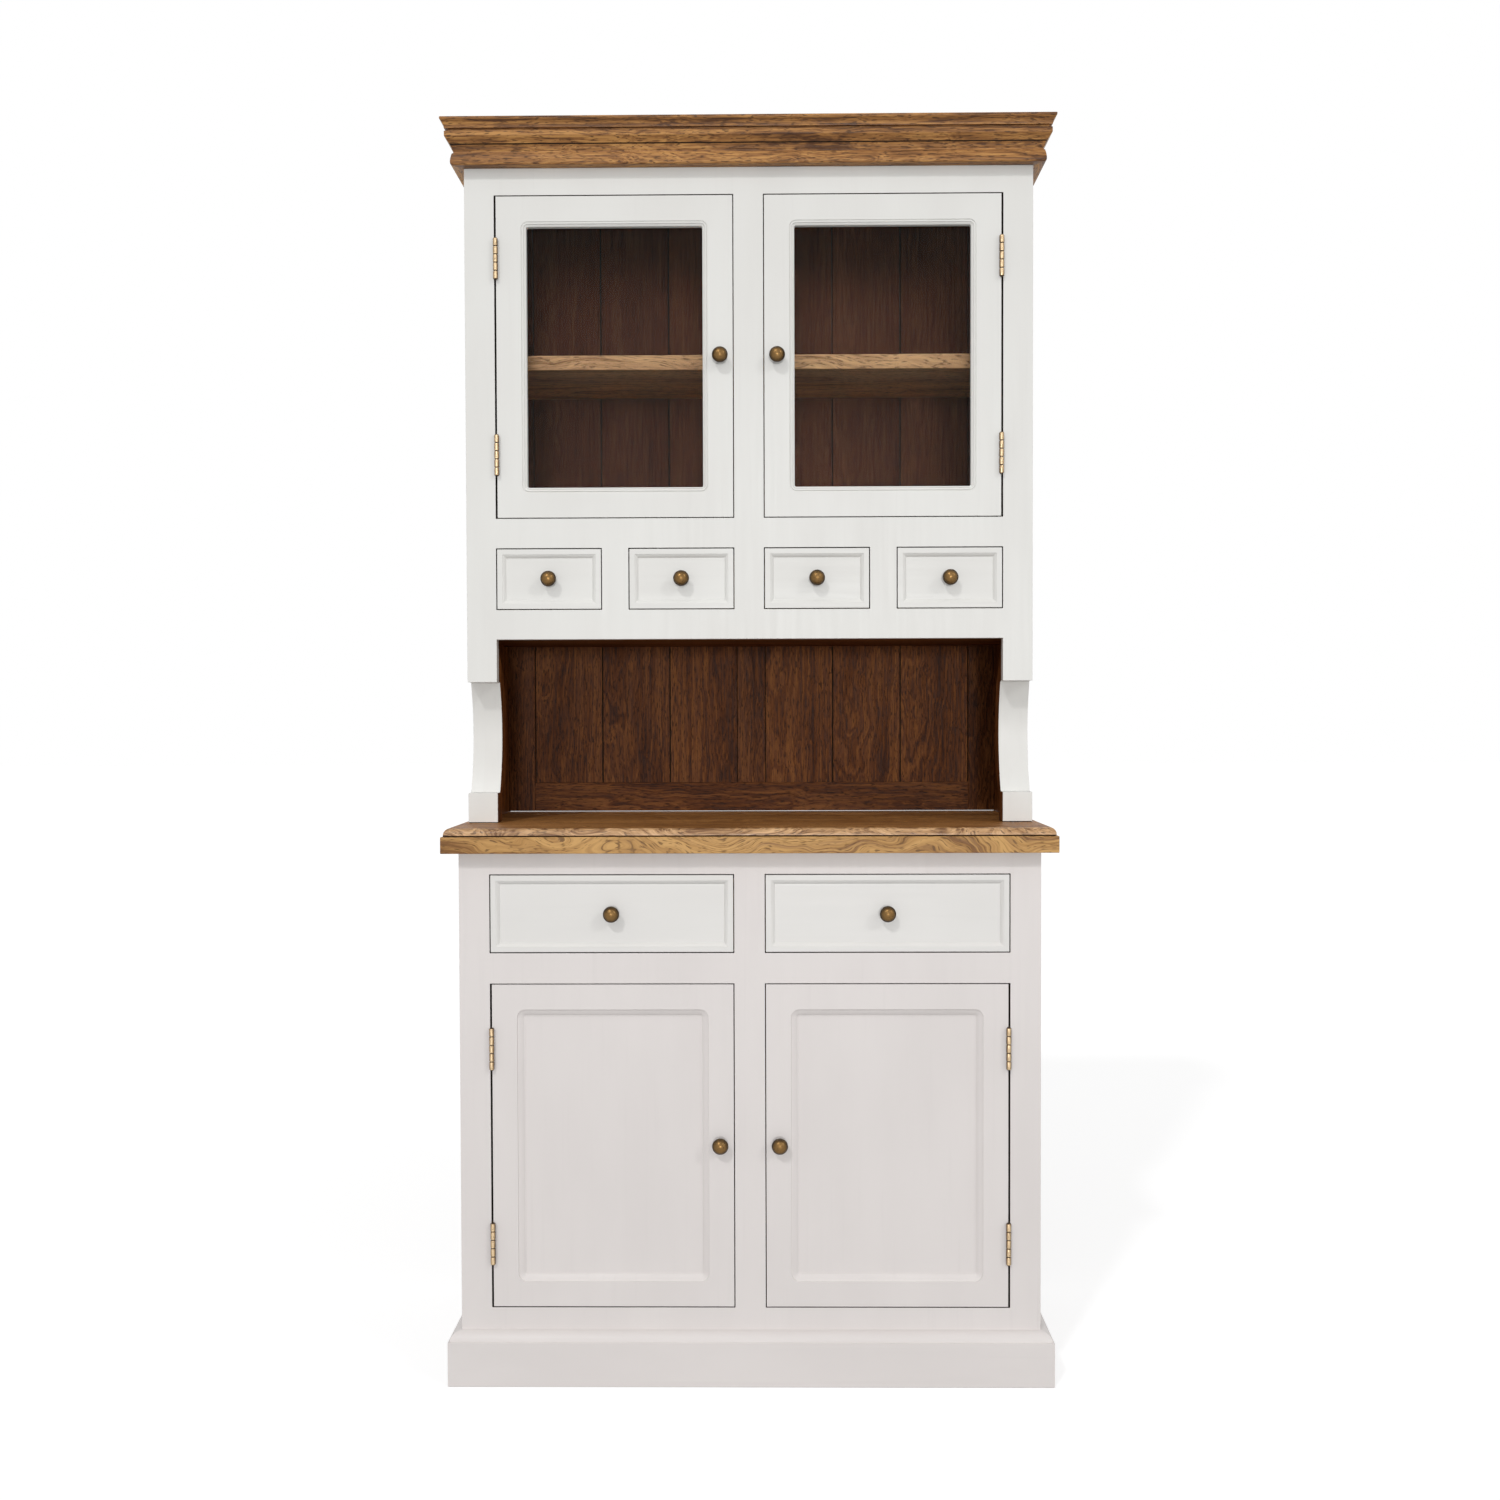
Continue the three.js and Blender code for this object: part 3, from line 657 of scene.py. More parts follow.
@dataclass(frozen=True)
class WoodFinish:
    """Stained or waxed hardwood: growth layers, fibres and open pores cut from one solid pattern.

    The sway is how far the layers wander off their course and its rate how often they do so in a
    metre. The figure is how much they curl within that. Fibres and pores follow the layers.
    """

    name: str
    slot: Slot
    pale: Colour
    body: Colour
    dark: Colour
    sway: float = mm(120)
    sway_rate: float = 2.2
    figure: float = 0.3
    layering: float = 1.7
    contrast: float = 1.0
    pores: float = 0.75
    tone_spread: float = 0.12
    roughness: float = 0.45
    gloss: float = 0.25

    def make(self) -> Material:
        """Builds the wood's material.

        Returns:
            The material.
        """
        sheet = NodeSheet(self.name)
        grain = sheet.attribute("grain")
        along, across, through = sheet.add("SeparateXYZ", {0: grain}).outputs
        shift, tone, heart = sheet.add("SeparateXYZ", {0: sheet.attribute("board")}).outputs
        lift = sheet.add("CombineXYZ", {0: shift, 1: sheet.math("MULTIPLY", shift, 0.37), 2: shift})
        place = sheet.vector("ADD", grain, lift.outputs[0])
        depth = self._depth(sheet, place, along, through, shift)
        aside = sheet.math("SUBTRACT", across, heart)
        broad, fine = self._layers(sheet, along, aside, depth, shift)
        course = sheet.add("CombineXYZ", {0: along, 1: across, 2: depth}).outputs[0]
        flow = sheet.vector("ADD", course, lift.outputs[0])
        blotch = sheet.noise(place, (2.4, 15, 15), 2.0)
        fibre = sheet.noise(flow, (14, 270, 270), 3.0, 0.62)
        value = 0.5
        for reading, share in ((broad, self.layering), (fine, 1.6), (blotch, 1.3), (fibre, 2.1)):
            centred = sheet.math("SUBTRACT", reading, 0.5)
            value = sheet.math("ADD", sheet.math("MULTIPLY", centred, share * self.contrast), value)
        colour = sheet.mix(sheet.band(value, 0.0, 0.5, soft=False), self.dark, self.body)
        colour = sheet.mix(sheet.band(value, 0.5, 1.0, soft=False), colour, self.pale)
        pits = sheet.band(sheet.noise(flow, (70, 460, 460), 1.0), 0.56, 0.68, 0.0, self.pores)
        colour = sheet.mix(pits, colour, tuple(0.5 * c for c in self.dark))
        level = sheet.math("ADD", sheet.math("MULTIPLY", tone, self.tone_spread), 1.0)
        cool = sheet.math("ADD", sheet.math("MULTIPLY", tone, 0.55 * self.tone_spread), 1.0)
        shade = sheet.add("CombineColor", {0: level, 1: level, 2: cool}).outputs[0]
        colour = sheet.mix(1.0, colour, shade, "MULTIPLY")
        relief = sheet.math("SUBTRACT", sheet.math("MULTIPLY", fibre, 0.6), pits)
        shader = sheet.add("BsdfPrincipled", {
            "Base Color": colour,
            "Roughness": sheet.band(fibre, 0.3, 0.8, self.roughness - 0.05, self.roughness + 0.12),
            "Specular IOR Level": self.gloss,
            "Normal": sheet.bump(relief, 0.4, mm(0.4)),
        })
        return sheet.close(shader.outputs[0])

    def _depth(self, sheet: NodeSheet, place: Socket, along: Socket, through: Socket,
               shift: Socket) -> Socket:
        """How far below the tree's heart a point lies, which wanders along the board.

        Args:
            sheet: the material's nodes.
            place: the point, moved by the board's own shift.
            along: the way along the board.
            through: the way through its thickness.
            shift: the board's shift.

        Returns:
            The depth.
        """
        rate = self.sway_rate
        course = sheet.noise(place, (rate, 1.3 * rate, 1.3 * rate), 2.0)
        wander = sheet.math("SUBTRACT", course, 0.5)
        curl = sheet.math("SUBTRACT", sheet.noise(place, (14, 34, 34), 1.0), 0.5)
        slope = sheet.math("SINE", sheet.math("MULTIPLY", shift, 9.0))
        climb = sheet.math("MULTIPLY", sheet.math("MULTIPLY", slope, along), 0.06)
        bend = sheet.math("ADD", sheet.math("MULTIPLY", wander, self.sway), 0.04)
        bend = sheet.math("ADD", bend, sheet.math("MULTIPLY", curl, mm(70) * self.figure))
        return sheet.math("ADD", sheet.math("ADD", through, climb), bend)

    @staticmethod
    def _layers(sheet: NodeSheet, along: Socket, aside: Socket, depth: Socket,
                shift: Socket) -> tuple[Socket, Socket]:
        """The growth layers, which bend into arches where the saw cuts through them.

        Args:
            sheet: the material's nodes.
            along: the way along the board.
            aside: how far beside the tree's heart the point lies.
            depth: how far below it the point lies.
            shift: the board's shift.

        Returns:
            The broad layers and the fine ones.
        """
        distance = sheet.math("SQRT", sheet.math(
            "ADD", sheet.math("MULTIPLY", aside, aside), sheet.math("MULTIPLY", depth, depth)))
        reading = sheet.add("CombineXYZ", {0: distance, 1: along, 2: shift}).outputs[0]
        return (sheet.noise(reading, (125, 1.4, 5), 3.0, 0.6),
                sheet.noise(reading, (460, 5, 5), 2.0, 0.55))


@dataclass(frozen=True)
class PaintFinish:
    """Satin off-white paint, brushed out along the boards, with the grain just telegraphing."""

    name: str
    colour: Colour
    shade: Colour
    slot: Slot = Slot.PAINT
    roughness: float = 0.42

    def make(self) -> Material:
        """Builds the paint's material.

        Returns:
            The material.
        """
        sheet = NodeSheet(self.name)
        place = sheet.vector("ADD", sheet.attribute("grain"), sheet.attribute("board"))
        cloud = sheet.noise(place, (3, 9, 9), 3.0)
        brush = sheet.noise(place, (6, 330, 330), 3.0, 0.6)
        grain = sheet.noise(place, (3, 90, 90), 2.0, 0.6)
        roller = sheet.noise(place, (700, 700, 700), 2.0)
        colour = sheet.mix(sheet.band(cloud, 0.3, 0.75), self.colour, self.shade)
        faint = tuple(0.95 * c for c in self.shade)
        colour = sheet.mix(sheet.band(grain, 0.55, 0.8, 0.0, 0.3), colour, faint)
        height = sheet.math("ADD", sheet.math("MULTIPLY", brush, 0.6), sheet.math(
            "ADD", sheet.math("MULTIPLY", roller, 0.4), sheet.math("MULTIPLY", grain, 0.5)))
        shader = sheet.add("BsdfPrincipled", {
            "Base Color": colour,
            "Roughness": sheet.band(brush, 0.3, 0.75, self.roughness - 0.04, self.roughness + 0.08),
            "Specular IOR Level": 0.45,
            "Normal": sheet.bump(height, 0.11, mm(0.3)),
        })
        return sheet.close(shader.outputs[0])


@dataclass(frozen=True)
class BrassFinish:
    """Aged brass: worn golden where fingers reach, brown and black in the hollows; on the hinges
    the golden front of the barrel is also a painted highlight.
    """

    name: str
    bright: Colour
    dull: Colour
    dark: Colour
    slot: Slot = Slot.BRASS
    roughness: float = 0.3

    def make(self) -> Material:
        """Builds the brass's material.

        Returns:
            The material.
        """
        sheet = NodeSheet(self.name)
        place = sheet.add("TexCoord").outputs["Object"]
        wear = sheet.attribute("wear", "Fac")
        cloud = sheet.noise(place, (120, 120, 120), 4.0, 0.65)
        spots = sheet.band(sheet.noise(place, (420, 420, 420), 2.0), 0.58, 0.7)
        rubbed = sheet.math("ADD", wear, sheet.math(
            "MULTIPLY", sheet.math("SUBTRACT", cloud, 0.5), 0.7), clamp=True)
        colour = sheet.mix(sheet.band(rubbed, 0.1, 0.5), self.dark, self.dull)
        colour = sheet.mix(sheet.band(rubbed, 0.45, 0.95), colour, self.bright)
        colour = sheet.mix(sheet.math("MULTIPLY", spots, 0.55), colour, self.dark)
        shader = sheet.add("BsdfPrincipled", {
            "Base Color": colour,
            "Metallic": sheet.band(rubbed, 0.05, 0.4, 0.55, 1.0),
            "Roughness": sheet.band(cloud, 0.3, 0.7, self.roughness, self.roughness + 0.18),
            "Normal": sheet.bump(cloud, 0.2, mm(0.3)),
        })
        return sheet.close(shader.outputs[0])


@dataclass(frozen=True)
class GlassFinish:
    """Clear window glass with the faintest ripple."""

    name: str
    slot: Slot = Slot.GLASS

    def make(self) -> Material:
        """Builds the glass's material.

        Returns:
            The material.
        """
        sheet = NodeSheet(self.name)
        place = sheet.add("TexCoord").outputs["Object"]
        ripple = sheet.noise(place, (9, 9, 5), 2.0)
        tint = sheet.mix(sheet.band(ripple, 0.3, 0.7), (0.97, 0.985, 0.975), (0.985, 0.99, 0.985))
        shader = sheet.add("BsdfPrincipled", {
            "Base Color": tint,
            "Roughness": 0.0,
            "IOR": 1.15,
            "Transmission Weight": 1.0,
            "Normal": sheet.bump(ripple, 0.05, mm(1)),
        })
        return sheet.close(shader.outputs[0])


class Finish(Enum):
    """Every finish on the dresser."""

    HUTCH_PAINT = PaintFinish("hutch_paint", (0.785, 0.78, 0.75), (0.755, 0.745, 0.715))
    # The base's paint is a touch darker and pinker than the hutch's: painted shade for the dimmer,
    # warmer light on the lower case.
    BASE_PAINT = PaintFinish("base_paint", (0.765, 0.721, 0.702), (0.735, 0.691, 0.673))
    DRAWER_PAINT = PaintFinish("drawer_paint", (0.79, 0.775, 0.75), (0.76, 0.745, 0.72))
    SLAB_WOOD = WoodFinish(
        "honey_slab", Slot.HONEY, (0.585, 0.336, 0.12), (0.434, 0.23, 0.072), (0.20, 0.086, 0.022),
        sway=mm(210), sway_rate=5.0, figure=0.4, layering=2.0, roughness=0.42)
    # The top board's wood in two copies: a darker one on its flat top, painted shade for the
    # hutch's shadow, and a lighter, glossier one on its nosing, a painted highlight.
    TOP_WOOD = WoodFinish(
        "honey_top", Slot.HONEY, (0.49, 0.235, 0.082), (0.34, 0.15, 0.044), (0.135, 0.046, 0.011),
        sway=mm(180), sway_rate=4.0, figure=0.35, roughness=0.45, gloss=0.12)
    NOSE_WOOD = WoodFinish(
        "honey_nosing", Slot.HONEY, (0.74, 0.46, 0.23), (0.52, 0.295, 0.13), (0.20, 0.09, 0.034),
        sway=mm(180), sway_rate=4.0, figure=0.35, roughness=0.32, gloss=0.4)
    CORNICE_WOOD = WoodFinish(
        "brown_cornice", Slot.BROWN, (0.57, 0.285, 0.085), (0.34, 0.15, 0.042),
        (0.10, 0.037, 0.010),
        sway=mm(80), sway_rate=2.4, figure=0.25, layering=1.3, contrast=1.05, roughness=0.42)
    DARK_STAIN = WoodFinish(
        "dark_stained_boards", Slot.DARK, (0.235, 0.088, 0.025), (0.128, 0.039, 0.0095),
        (0.045, 0.012, 0.0033), sway=mm(50), sway_rate=1.6, figure=0.3, layering=1.1, contrast=0.95,
        tone_spread=0.26, roughness=0.5, gloss=0.1)
    # A calmer, bluer copy of the dark stain for the boards behind the glass: painted sheen of the
    # glass and painted shade of the cupboard.
    CUPBOARD_STAIN = WoodFinish(
        "cupboard_stain", Slot.DARK, (0.187, 0.075, 0.039), (0.12, 0.042, 0.02),
        (0.06, 0.02, 0.009), sway=mm(50), sway_rate=1.6, layering=1.0, contrast=0.6,
        pores=0.4, tone_spread=0.2, roughness=0.5, gloss=0.1)
    # Painted shade: a near-black finish laid in gaps, creases, grooves and under eased edges, where
    # little light reaches.
    POOLED_STAIN = WoodFinish(
        "pooled_stain", Slot.DARK, (0.05, 0.03, 0.018), (0.034, 0.02, 0.012), (0.016, 0.01, 0.006),
        contrast=0.6, roughness=0.55, gloss=0.1)
    # A much lighter copy of the inside's stained wood for the shelf: a painted highlight for the
    # light on its front edge.
    SHELF_WOOD = WoodFinish(
        "waxed_shelf", Slot.DARK, (0.80, 0.49, 0.23), (0.63, 0.36, 0.165), (0.33, 0.163, 0.065),
        contrast=0.8, roughness=0.5, gloss=0.2)
    DRAWER_WOOD = WoodFinish(
        "drawer_wood", Slot.PLAIN, (0.68, 0.49, 0.31), (0.59, 0.40, 0.235), (0.40, 0.245, 0.125),
        contrast=0.7, pores=0.25, roughness=0.6)
    BRASS = BrassFinish(
        "aged_brass", (0.20, 0.115, 0.043), (0.15, 0.09, 0.036), (0.045, 0.028, 0.015))
    HINGE_BRASS = BrassFinish(
        "hinge_brass", (0.66, 0.50, 0.31), (0.30, 0.19, 0.10), (0.06, 0.036, 0.02))
    GLASS = GlassFinish("clear_pane")


class FinishShelf:
    """Makes each finish once and hands it out."""

    def __init__(self) -> None:
        """Starts with no finish made."""
        self._made: dict[Finish, Material] = {}

    def get(self, finish: Finish) -> Material:
        """The material of a finish.

        Args:
            finish: the finish that is wanted.

        Returns:
            Its material, the same one each time.
        """
        if finish not in self._made:
            self._made[finish] = finish.value.make()
        return self._made[finish]

    def dress(self, piece: Piece, finish: Finish) -> None:
        """Covers a whole piece with one finish.

        Args:
            piece: the piece to cover.
            finish: its finish.
        """
        piece.data.materials.clear()
        piece.data.materials.append(self.get(finish))

    def dress_part(self, piece: Piece, finish: Finish, test: Test) -> None:
        """Covers some faces of a dressed piece with a second finish.

        Args:
            piece: the piece, dressed already.
            finish: the second finish.
            test: takes a face's middle and its normal.
        """
        piece.data.materials.append(self.get(finish))
        index = len(piece.data.materials) - 1
        for face in piece.data.polygons:
            if test(face.center, face.normal):
                face.material_index = index


shelf = FinishShelf()


def fit(piece: Piece, body: str, *nodes: str) -> None:
    """Lets a finished piece ride on a body and stand for nodes of the frame.

    Args:
        piece: the finished piece.
        body: the body that it moves with.
        nodes: the nodes that it replaces.
    """
    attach(piece, body)
    if nodes:
        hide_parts(*nodes)
    log.info("%s: %d faces, rides on %s", piece.name, len(piece.data.polygons), body)


def finish_off(piece: Piece, staves: Staves, finish: Finish, node: str, key: str = "") -> None:
    """Grains and dresses a piece of the case and lets it stand for its node.

    Args:
        piece: the piece.
        staves: the run of its grain and its joints.
        finish: its finish.
        node: the node of the frame that it stands for.
        key: another name than the piece's own to draw the grain from.
    """
    lay_grain(piece, staves, key)
    shelf.dress(piece, finish)
    fit(piece, "root", node)


def wear_down(piece: Piece, rule: Callable[[Vector], float]) -> None:
    """Writes how worn each point of a piece of hardware is, from zero to one.

    Args:
        piece: the piece.
        rule: gives the wear at a point.
    """
    layer = piece.data.attributes.new("wear", "FLOAT", "POINT")
    for vertex, item in zip(piece.data.vertices, layer.data):
        item.value = rule(vertex.co)


# Mouldings


@dataclass(frozen=True)
class Profile:
    """A moulding's section as [out, up] points, in metres from the wall and from its foot."""

    points: tuple[Spot, ...]

    @property
    def reach(self) -> float:
        """How far the moulding stands out."""
        return max(out for out, _ in self.points)

    def run(self, name: str, start: Vector, end: Vector, out: Vector) -> Piece:
        """Runs the moulding from one point to another.

        Args:
            name: the piece's name.
            start: the foot of the moulding at its first end.
            end: the foot of the moulding at its other end.
            out: the direction that it stands out in.

        Returns:
            A square-cut length of moulding.
        """
        outline = [start + out * o + Vector((0, 0, u)) for o, u in self.points]
        return outline_plate(name, outline, end - start)


def wrap_case(name: str, profile: Profile, half: float, front: float, back: float,
              foot: float) -> list[Piece]:
    """Runs a moulding round the front and both sides of a case, mitred at the front corners.

    Args:
        name: the start of each length's name.
        profile: the moulding's section.
        half: half of the case's width.
        front: the case's front face.
        back: the wall.
        foot: the height of the moulding's foot.

    Returns:
        The left, front and right lengths.
    """
    spare = profile.reach + mm(5)
    left = profile.run(f"{name}_left", Vector((-half, back, foot)),
                       Vector((-half, front - spare, foot)), Vector((-1, 0, 0)))
    across = profile.run(f"{name}_front", Vector((-half - spare, front, foot)),
                         Vector((half + spare, front, foot)), Vector((0, -1, 0)))
    trim(left, Vector((-half, front, foot)), Vector((1, -1, 0)))
    trim(across, Vector((-half, front, foot)), Vector((-1, 1, 0)))
    trim(across, Vector((half, front, foot)), Vector((1, 1, 0)))
    right = copy_piece(left, f"{name}_right", Vector(), flip=True)
    return [left, across, right]


def sink_steps(curve: Sequence[Spot], width: float, depth: float) -> None:
    """Sinks the picked face of the open mesh along a moulded curve.

    Args:
        curve: [across, down] points as shares of the width and the depth.
        width: how far the moulding reaches inwards.
        depth: how far it goes down, along the face's normal.
    """
    last = (0.0, 0.0)
    for across, down in curve:
        bpy.ops.mesh.inset(thickness=(across - last[0]) * width, depth=(down - last[1]) * depth)
        last = (across, down)


# Face frames


@dataclass(frozen=True)
class Opening:
    """A hole in a face frame."""

    left: float
    right: float
    sill: float
    head: float


@dataclass(frozen=True)
class FaceFrame:
    """A painted face frame whose joints have been filled, so that it shows as one surface."""

    name: str
    node: str
    foot: float
    stile: float
    openings: tuple[Opening, ...]
    finish: Finish
    ease: float = mm(0.6)

    def build(self) -> None:
        """Cuts the frame from one blank, draws its stiles down and eases its edges."""
        box = Box.of(self.node)
        piece = cut_board(self.name, (box.low.x, box.low.y, self.foot), box.high, ease=0)
        lines = {(0, v) for o in self.openings for v in (o.left, o.right)}
        lines |= {(2, v) for o in self.openings for v in (o.sill, o.head)}
        lines |= {(0, box.low.x + self.stile), (0, box.high.x - self.stile)}
        reach, drop = box.high.x - self.stile, box.low.z - self.foot
        with shaping(piece):
            for axis, value in sorted(lines):
                point, normal = Vector(), Vector()
                point[axis], normal[axis] = value, 1.0
                score(point, normal)
            for opening in self.openings:
                self._cut(piece, opening)
            pick_faces(piece, lambda c, n: (
                n.z < -FACING and c.z < self.foot + NEAR and abs(c.x) > reach))
            if drop < -NEAR:
                draw_out((0, 0, drop))
            pick_all()
            bpy.ops.mesh.remove_doubles(threshold=WELD)
        ease_edges(piece, self.ease, segments=3)
        smooth(piece, angle=50)
        finish_off(piece, Staves(Axis.Z, Axis.X), self.finish, self.node)
        # The reveals of the openings take painted shade, which darkens the gaps round the doors and
        # drawers.
        shelf.dress_part(piece, Finish.POOLED_STAIN, self._shaded_reveal)

    def _shaded_reveal(self, centre: Vector, normal: Vector) -> bool:
        """Whether a face lies within an opening's thickness, which takes a near-black painted shade
        for the dark gaps round the doors and drawers.

        Args:
            centre: the face's middle.
            normal: its normal.

        Returns:
            Whether it takes the painted shade.
        """
        return abs(normal.y) <= LEANING and any(
            o.left - NEAR < centre.x < o.right + NEAR and o.sill - NEAR < centre.z < o.head + NEAR
            for o in self.openings)

    @staticmethod
    def _cut(piece: Piece, hole: Opening) -> None:
        """Takes one opening's faces off the front and the back and joins the two edges.

        Args:
            piece: the blank, in edit mode.
            hole: the opening.
        """
        def inside(centre: Vector) -> bool:
            """Whether a point is within the opening."""
            return hole.left < centre.x < hole.right and hole.sill < centre.z < hole.head

        for way in (-1, 1):
            if pick_faces(piece, lambda c, n, w=way: n.y * w > FACING and inside(c)) > 1:
                bpy.ops.mesh.dissolve_faces()
        pick_faces(piece, lambda c, n: abs(n.y) > FACING and inside(c))
        bpy.ops.mesh.bridge_edge_loops()


# Base cabinet


@dataclass(frozen=True)
class BaseCabinet:
    """The base's plinth, sides, face frame, back, floor, shelf and drawer bed."""

    stile: float = mm(50)
    mullion: float = mm(50)
    bottom_rail: float = mm(50)
    door_sill: float = mm(124)
    door_head: float = mm(658)
    drawer_floor: float = mm(708)
    drawer_head: float = mm(837)
    plinth_flat: float = mm(73)
    plinth_step: float = mm(3)
    plinth_arris: float = mm(1)
    plinth_crease: float = mm(0.7)
    plinth_steps: int = 12
    guide_rise: float = mm(20)
    floor_staves: int = 3
    back_staves: int = 4
    pins_across: int = 9
    pins_up: int = 5
    corner_pin: float = mm(15)
    edge_pin: float = mm(9)
    top_pin: float = mm(12)

    def build(self) -> None:
        """Builds and dresses the whole case."""
        self._plinth()
        self._sides()
        self._face_frame()
        self._inside()
        self._drawer_bed()
        self._back()

    def _plinth(self) -> None:
        """The moulded plinth in three mitred lengths."""
        box, case = Box.of("plinth"), Box.of("base_face_frame")
        thick, flat, steps = case.low.y - box.low.y, self.plinth_flat, self.plinth_steps
        points = [(0.0, 0.0), (thick - self.plinth_arris, 0.0), (thick, self.plinth_arris),
                  (thick, flat - self.plinth_crease), (thick - self.plinth_crease, flat)]
        for angle in (math.radians(90 * i / steps) for i in range(steps)):
            points.append(((thick - self.plinth_step) * math.cos(angle),
                           flat + (box.high.z - flat) * math.sin(angle)))
        points.append((0.0, box.high.z))
        profile = Profile(tuple(points))
        lengths = wrap_case("plinth", profile, case.high.x, case.low.y, box.high.y, 0.0)
        for piece, run in zip(lengths, (Axis.Y, Axis.X, Axis.Y)):
            smooth(piece)
            finish_off(piece, Staves(run, Axis.Z), Finish.BASE_PAINT, "plinth")

    def _sides(self) -> None:
        """The two painted side panels, stained inside."""
        for side in Side:
            node = f"base_side_{side.name.lower()}"
            box = Box.of(node)
            piece = cut_board(f"{node}_panel", box.low, box.high, ease=mm(1))
            smooth(piece, angle=50)
            finish_off(piece, Staves(Axis.Z, Axis.Y), Finish.BASE_PAINT, node)
            shelf.dress_part(piece, Finish.DARK_STAIN, lambda c, n: n.x * side.value < -FACING)

    def _face_frame(self) -> None:
        """The face frame with its two drawer openings and two door openings."""
        inner, middle = Box.of("base_face_frame").high.x - self.stile, self.mullion / 2
        heights = ((self.door_sill, self.door_head), (self.drawer_floor, self.drawer_head))
        openings = tuple(Opening(left, right, sill, head)
                         for left, right in ((-inner, -middle), (middle, inner))
                         for sill, head in heights)
        FaceFrame("base_face_frame_blank", "base_face_frame", self.door_sill - self.bottom_rail,
                  self.stile, openings, Finish.BASE_PAINT).build()

    def _inside(self) -> None:
        """The cupboard's floor and shelf, glued up from staves."""
        for node in ("base_floor", "base_shelf"):
            box = Box.of(node)
            piece = cut_board(f"{node}_board", box.low, box.high, ease=mm(0.8))
            joints = even_joints(box.low.y, box.size.y, self.floor_staves)
            finish_off(piece, Staves(Axis.X, Axis.Y, joints), Finish.DARK_STAIN, node)

    def _drawer_bed(self) -> None:
        """The deck under the wide drawers and the guides beside them."""
        box = Box.of("base_drawer_bed")
        inner, middle = Box.of("base_face_frame").high.x - self.stile, self.mullion / 2
        floor, top = self.drawer_floor, self.drawer_floor + self.guide_rise
        parts = [cut_board("deck", box.low, (box.high.x, box.high.y, floor), ease=0)]
        for low, high in ((box.low.x, -inner), (-middle, middle), (inner, box.high.x)):
            parts.append(cut_board(
                "guide", (low, box.low.y, floor), (high, box.high.y, top), ease=mm(0.6)))
        for i, part in enumerate(parts):
            staves = Staves(Axis.Y, Axis.X) if i else Staves(Axis.X, Axis.Y)
            lay_grain(part, staves, f"base_bed_{i}")
        piece = join_pieces("base_drawer_bed_boards", parts)
        shelf.dress(piece, Finish.DRAWER_WOOD)
        fit(piece, "root", "base_drawer_bed")

    def _back(self) -> None:
        """The thin back panel, pinned round its edge."""
        box = Box.of("base_back_panel")
        piece = cut_board("base_back_sheet", box.low, box.high, ease=mm(0.4))
        joints = even_joints(box.low.x, box.size.x, self.back_staves)
        finish_off(piece, Staves(Axis.Z, Axis.X, joints), Finish.DARK_STAIN, "base_back_panel")
        nails = []
        for i in range(self.pins_across):
            way = (box.size.x - 2 * self.corner_pin) * i / (self.pins_across - 1)
            x = box.low.x + self.corner_pin + way
            nails += [(x, box.low.z + self.edge_pin), (x, box.high.z - self.top_pin)]
        for i in range(1, self.pins_up + 1):
            z = box.low.z + box.size.z * i / (self.pins_up + 1)
            nails += [(box.low.x + self.edge_pin, z), (box.high.x - self.edge_pin, z)]
        PanelPins().drive("base_back_pins", nails, box.high.y)


# Pins


@dataclass(frozen=True)
class PanelPins:
    """Small pins that hold thin boards from the rear, driven flush."""

    radius: float = mm(1.6)
    depth: float = mm(1.2)
    ease: float = mm(0.25)
    wear: float = 0.25
    sides: int = 12

    def drive(self, name: str, spots: Sequence[Spot], plane: float) -> None:
        """Drives and dresses a set of pins.

        Args:
            name: the piece's name.
            spots: the heads' [x, z] places.
            plane: the rear plane, which the heads end flush with.
        """
        parts = []
        for x, z in spots:
            middle = (x, plane - self.depth / 2, z)
            part = turn_rod(self.radius, self.depth, middle, Axis.Y, self.sides)
            ease_edges(part, self.ease, segments=1)
            parts.append(part)
        piece = join_pieces(name, parts)
        wear_down(piece, lambda point: self.wear)
        shelf.dress(piece, Finish.HINGE_BRASS)
        fit(piece, "root")


# Worktop


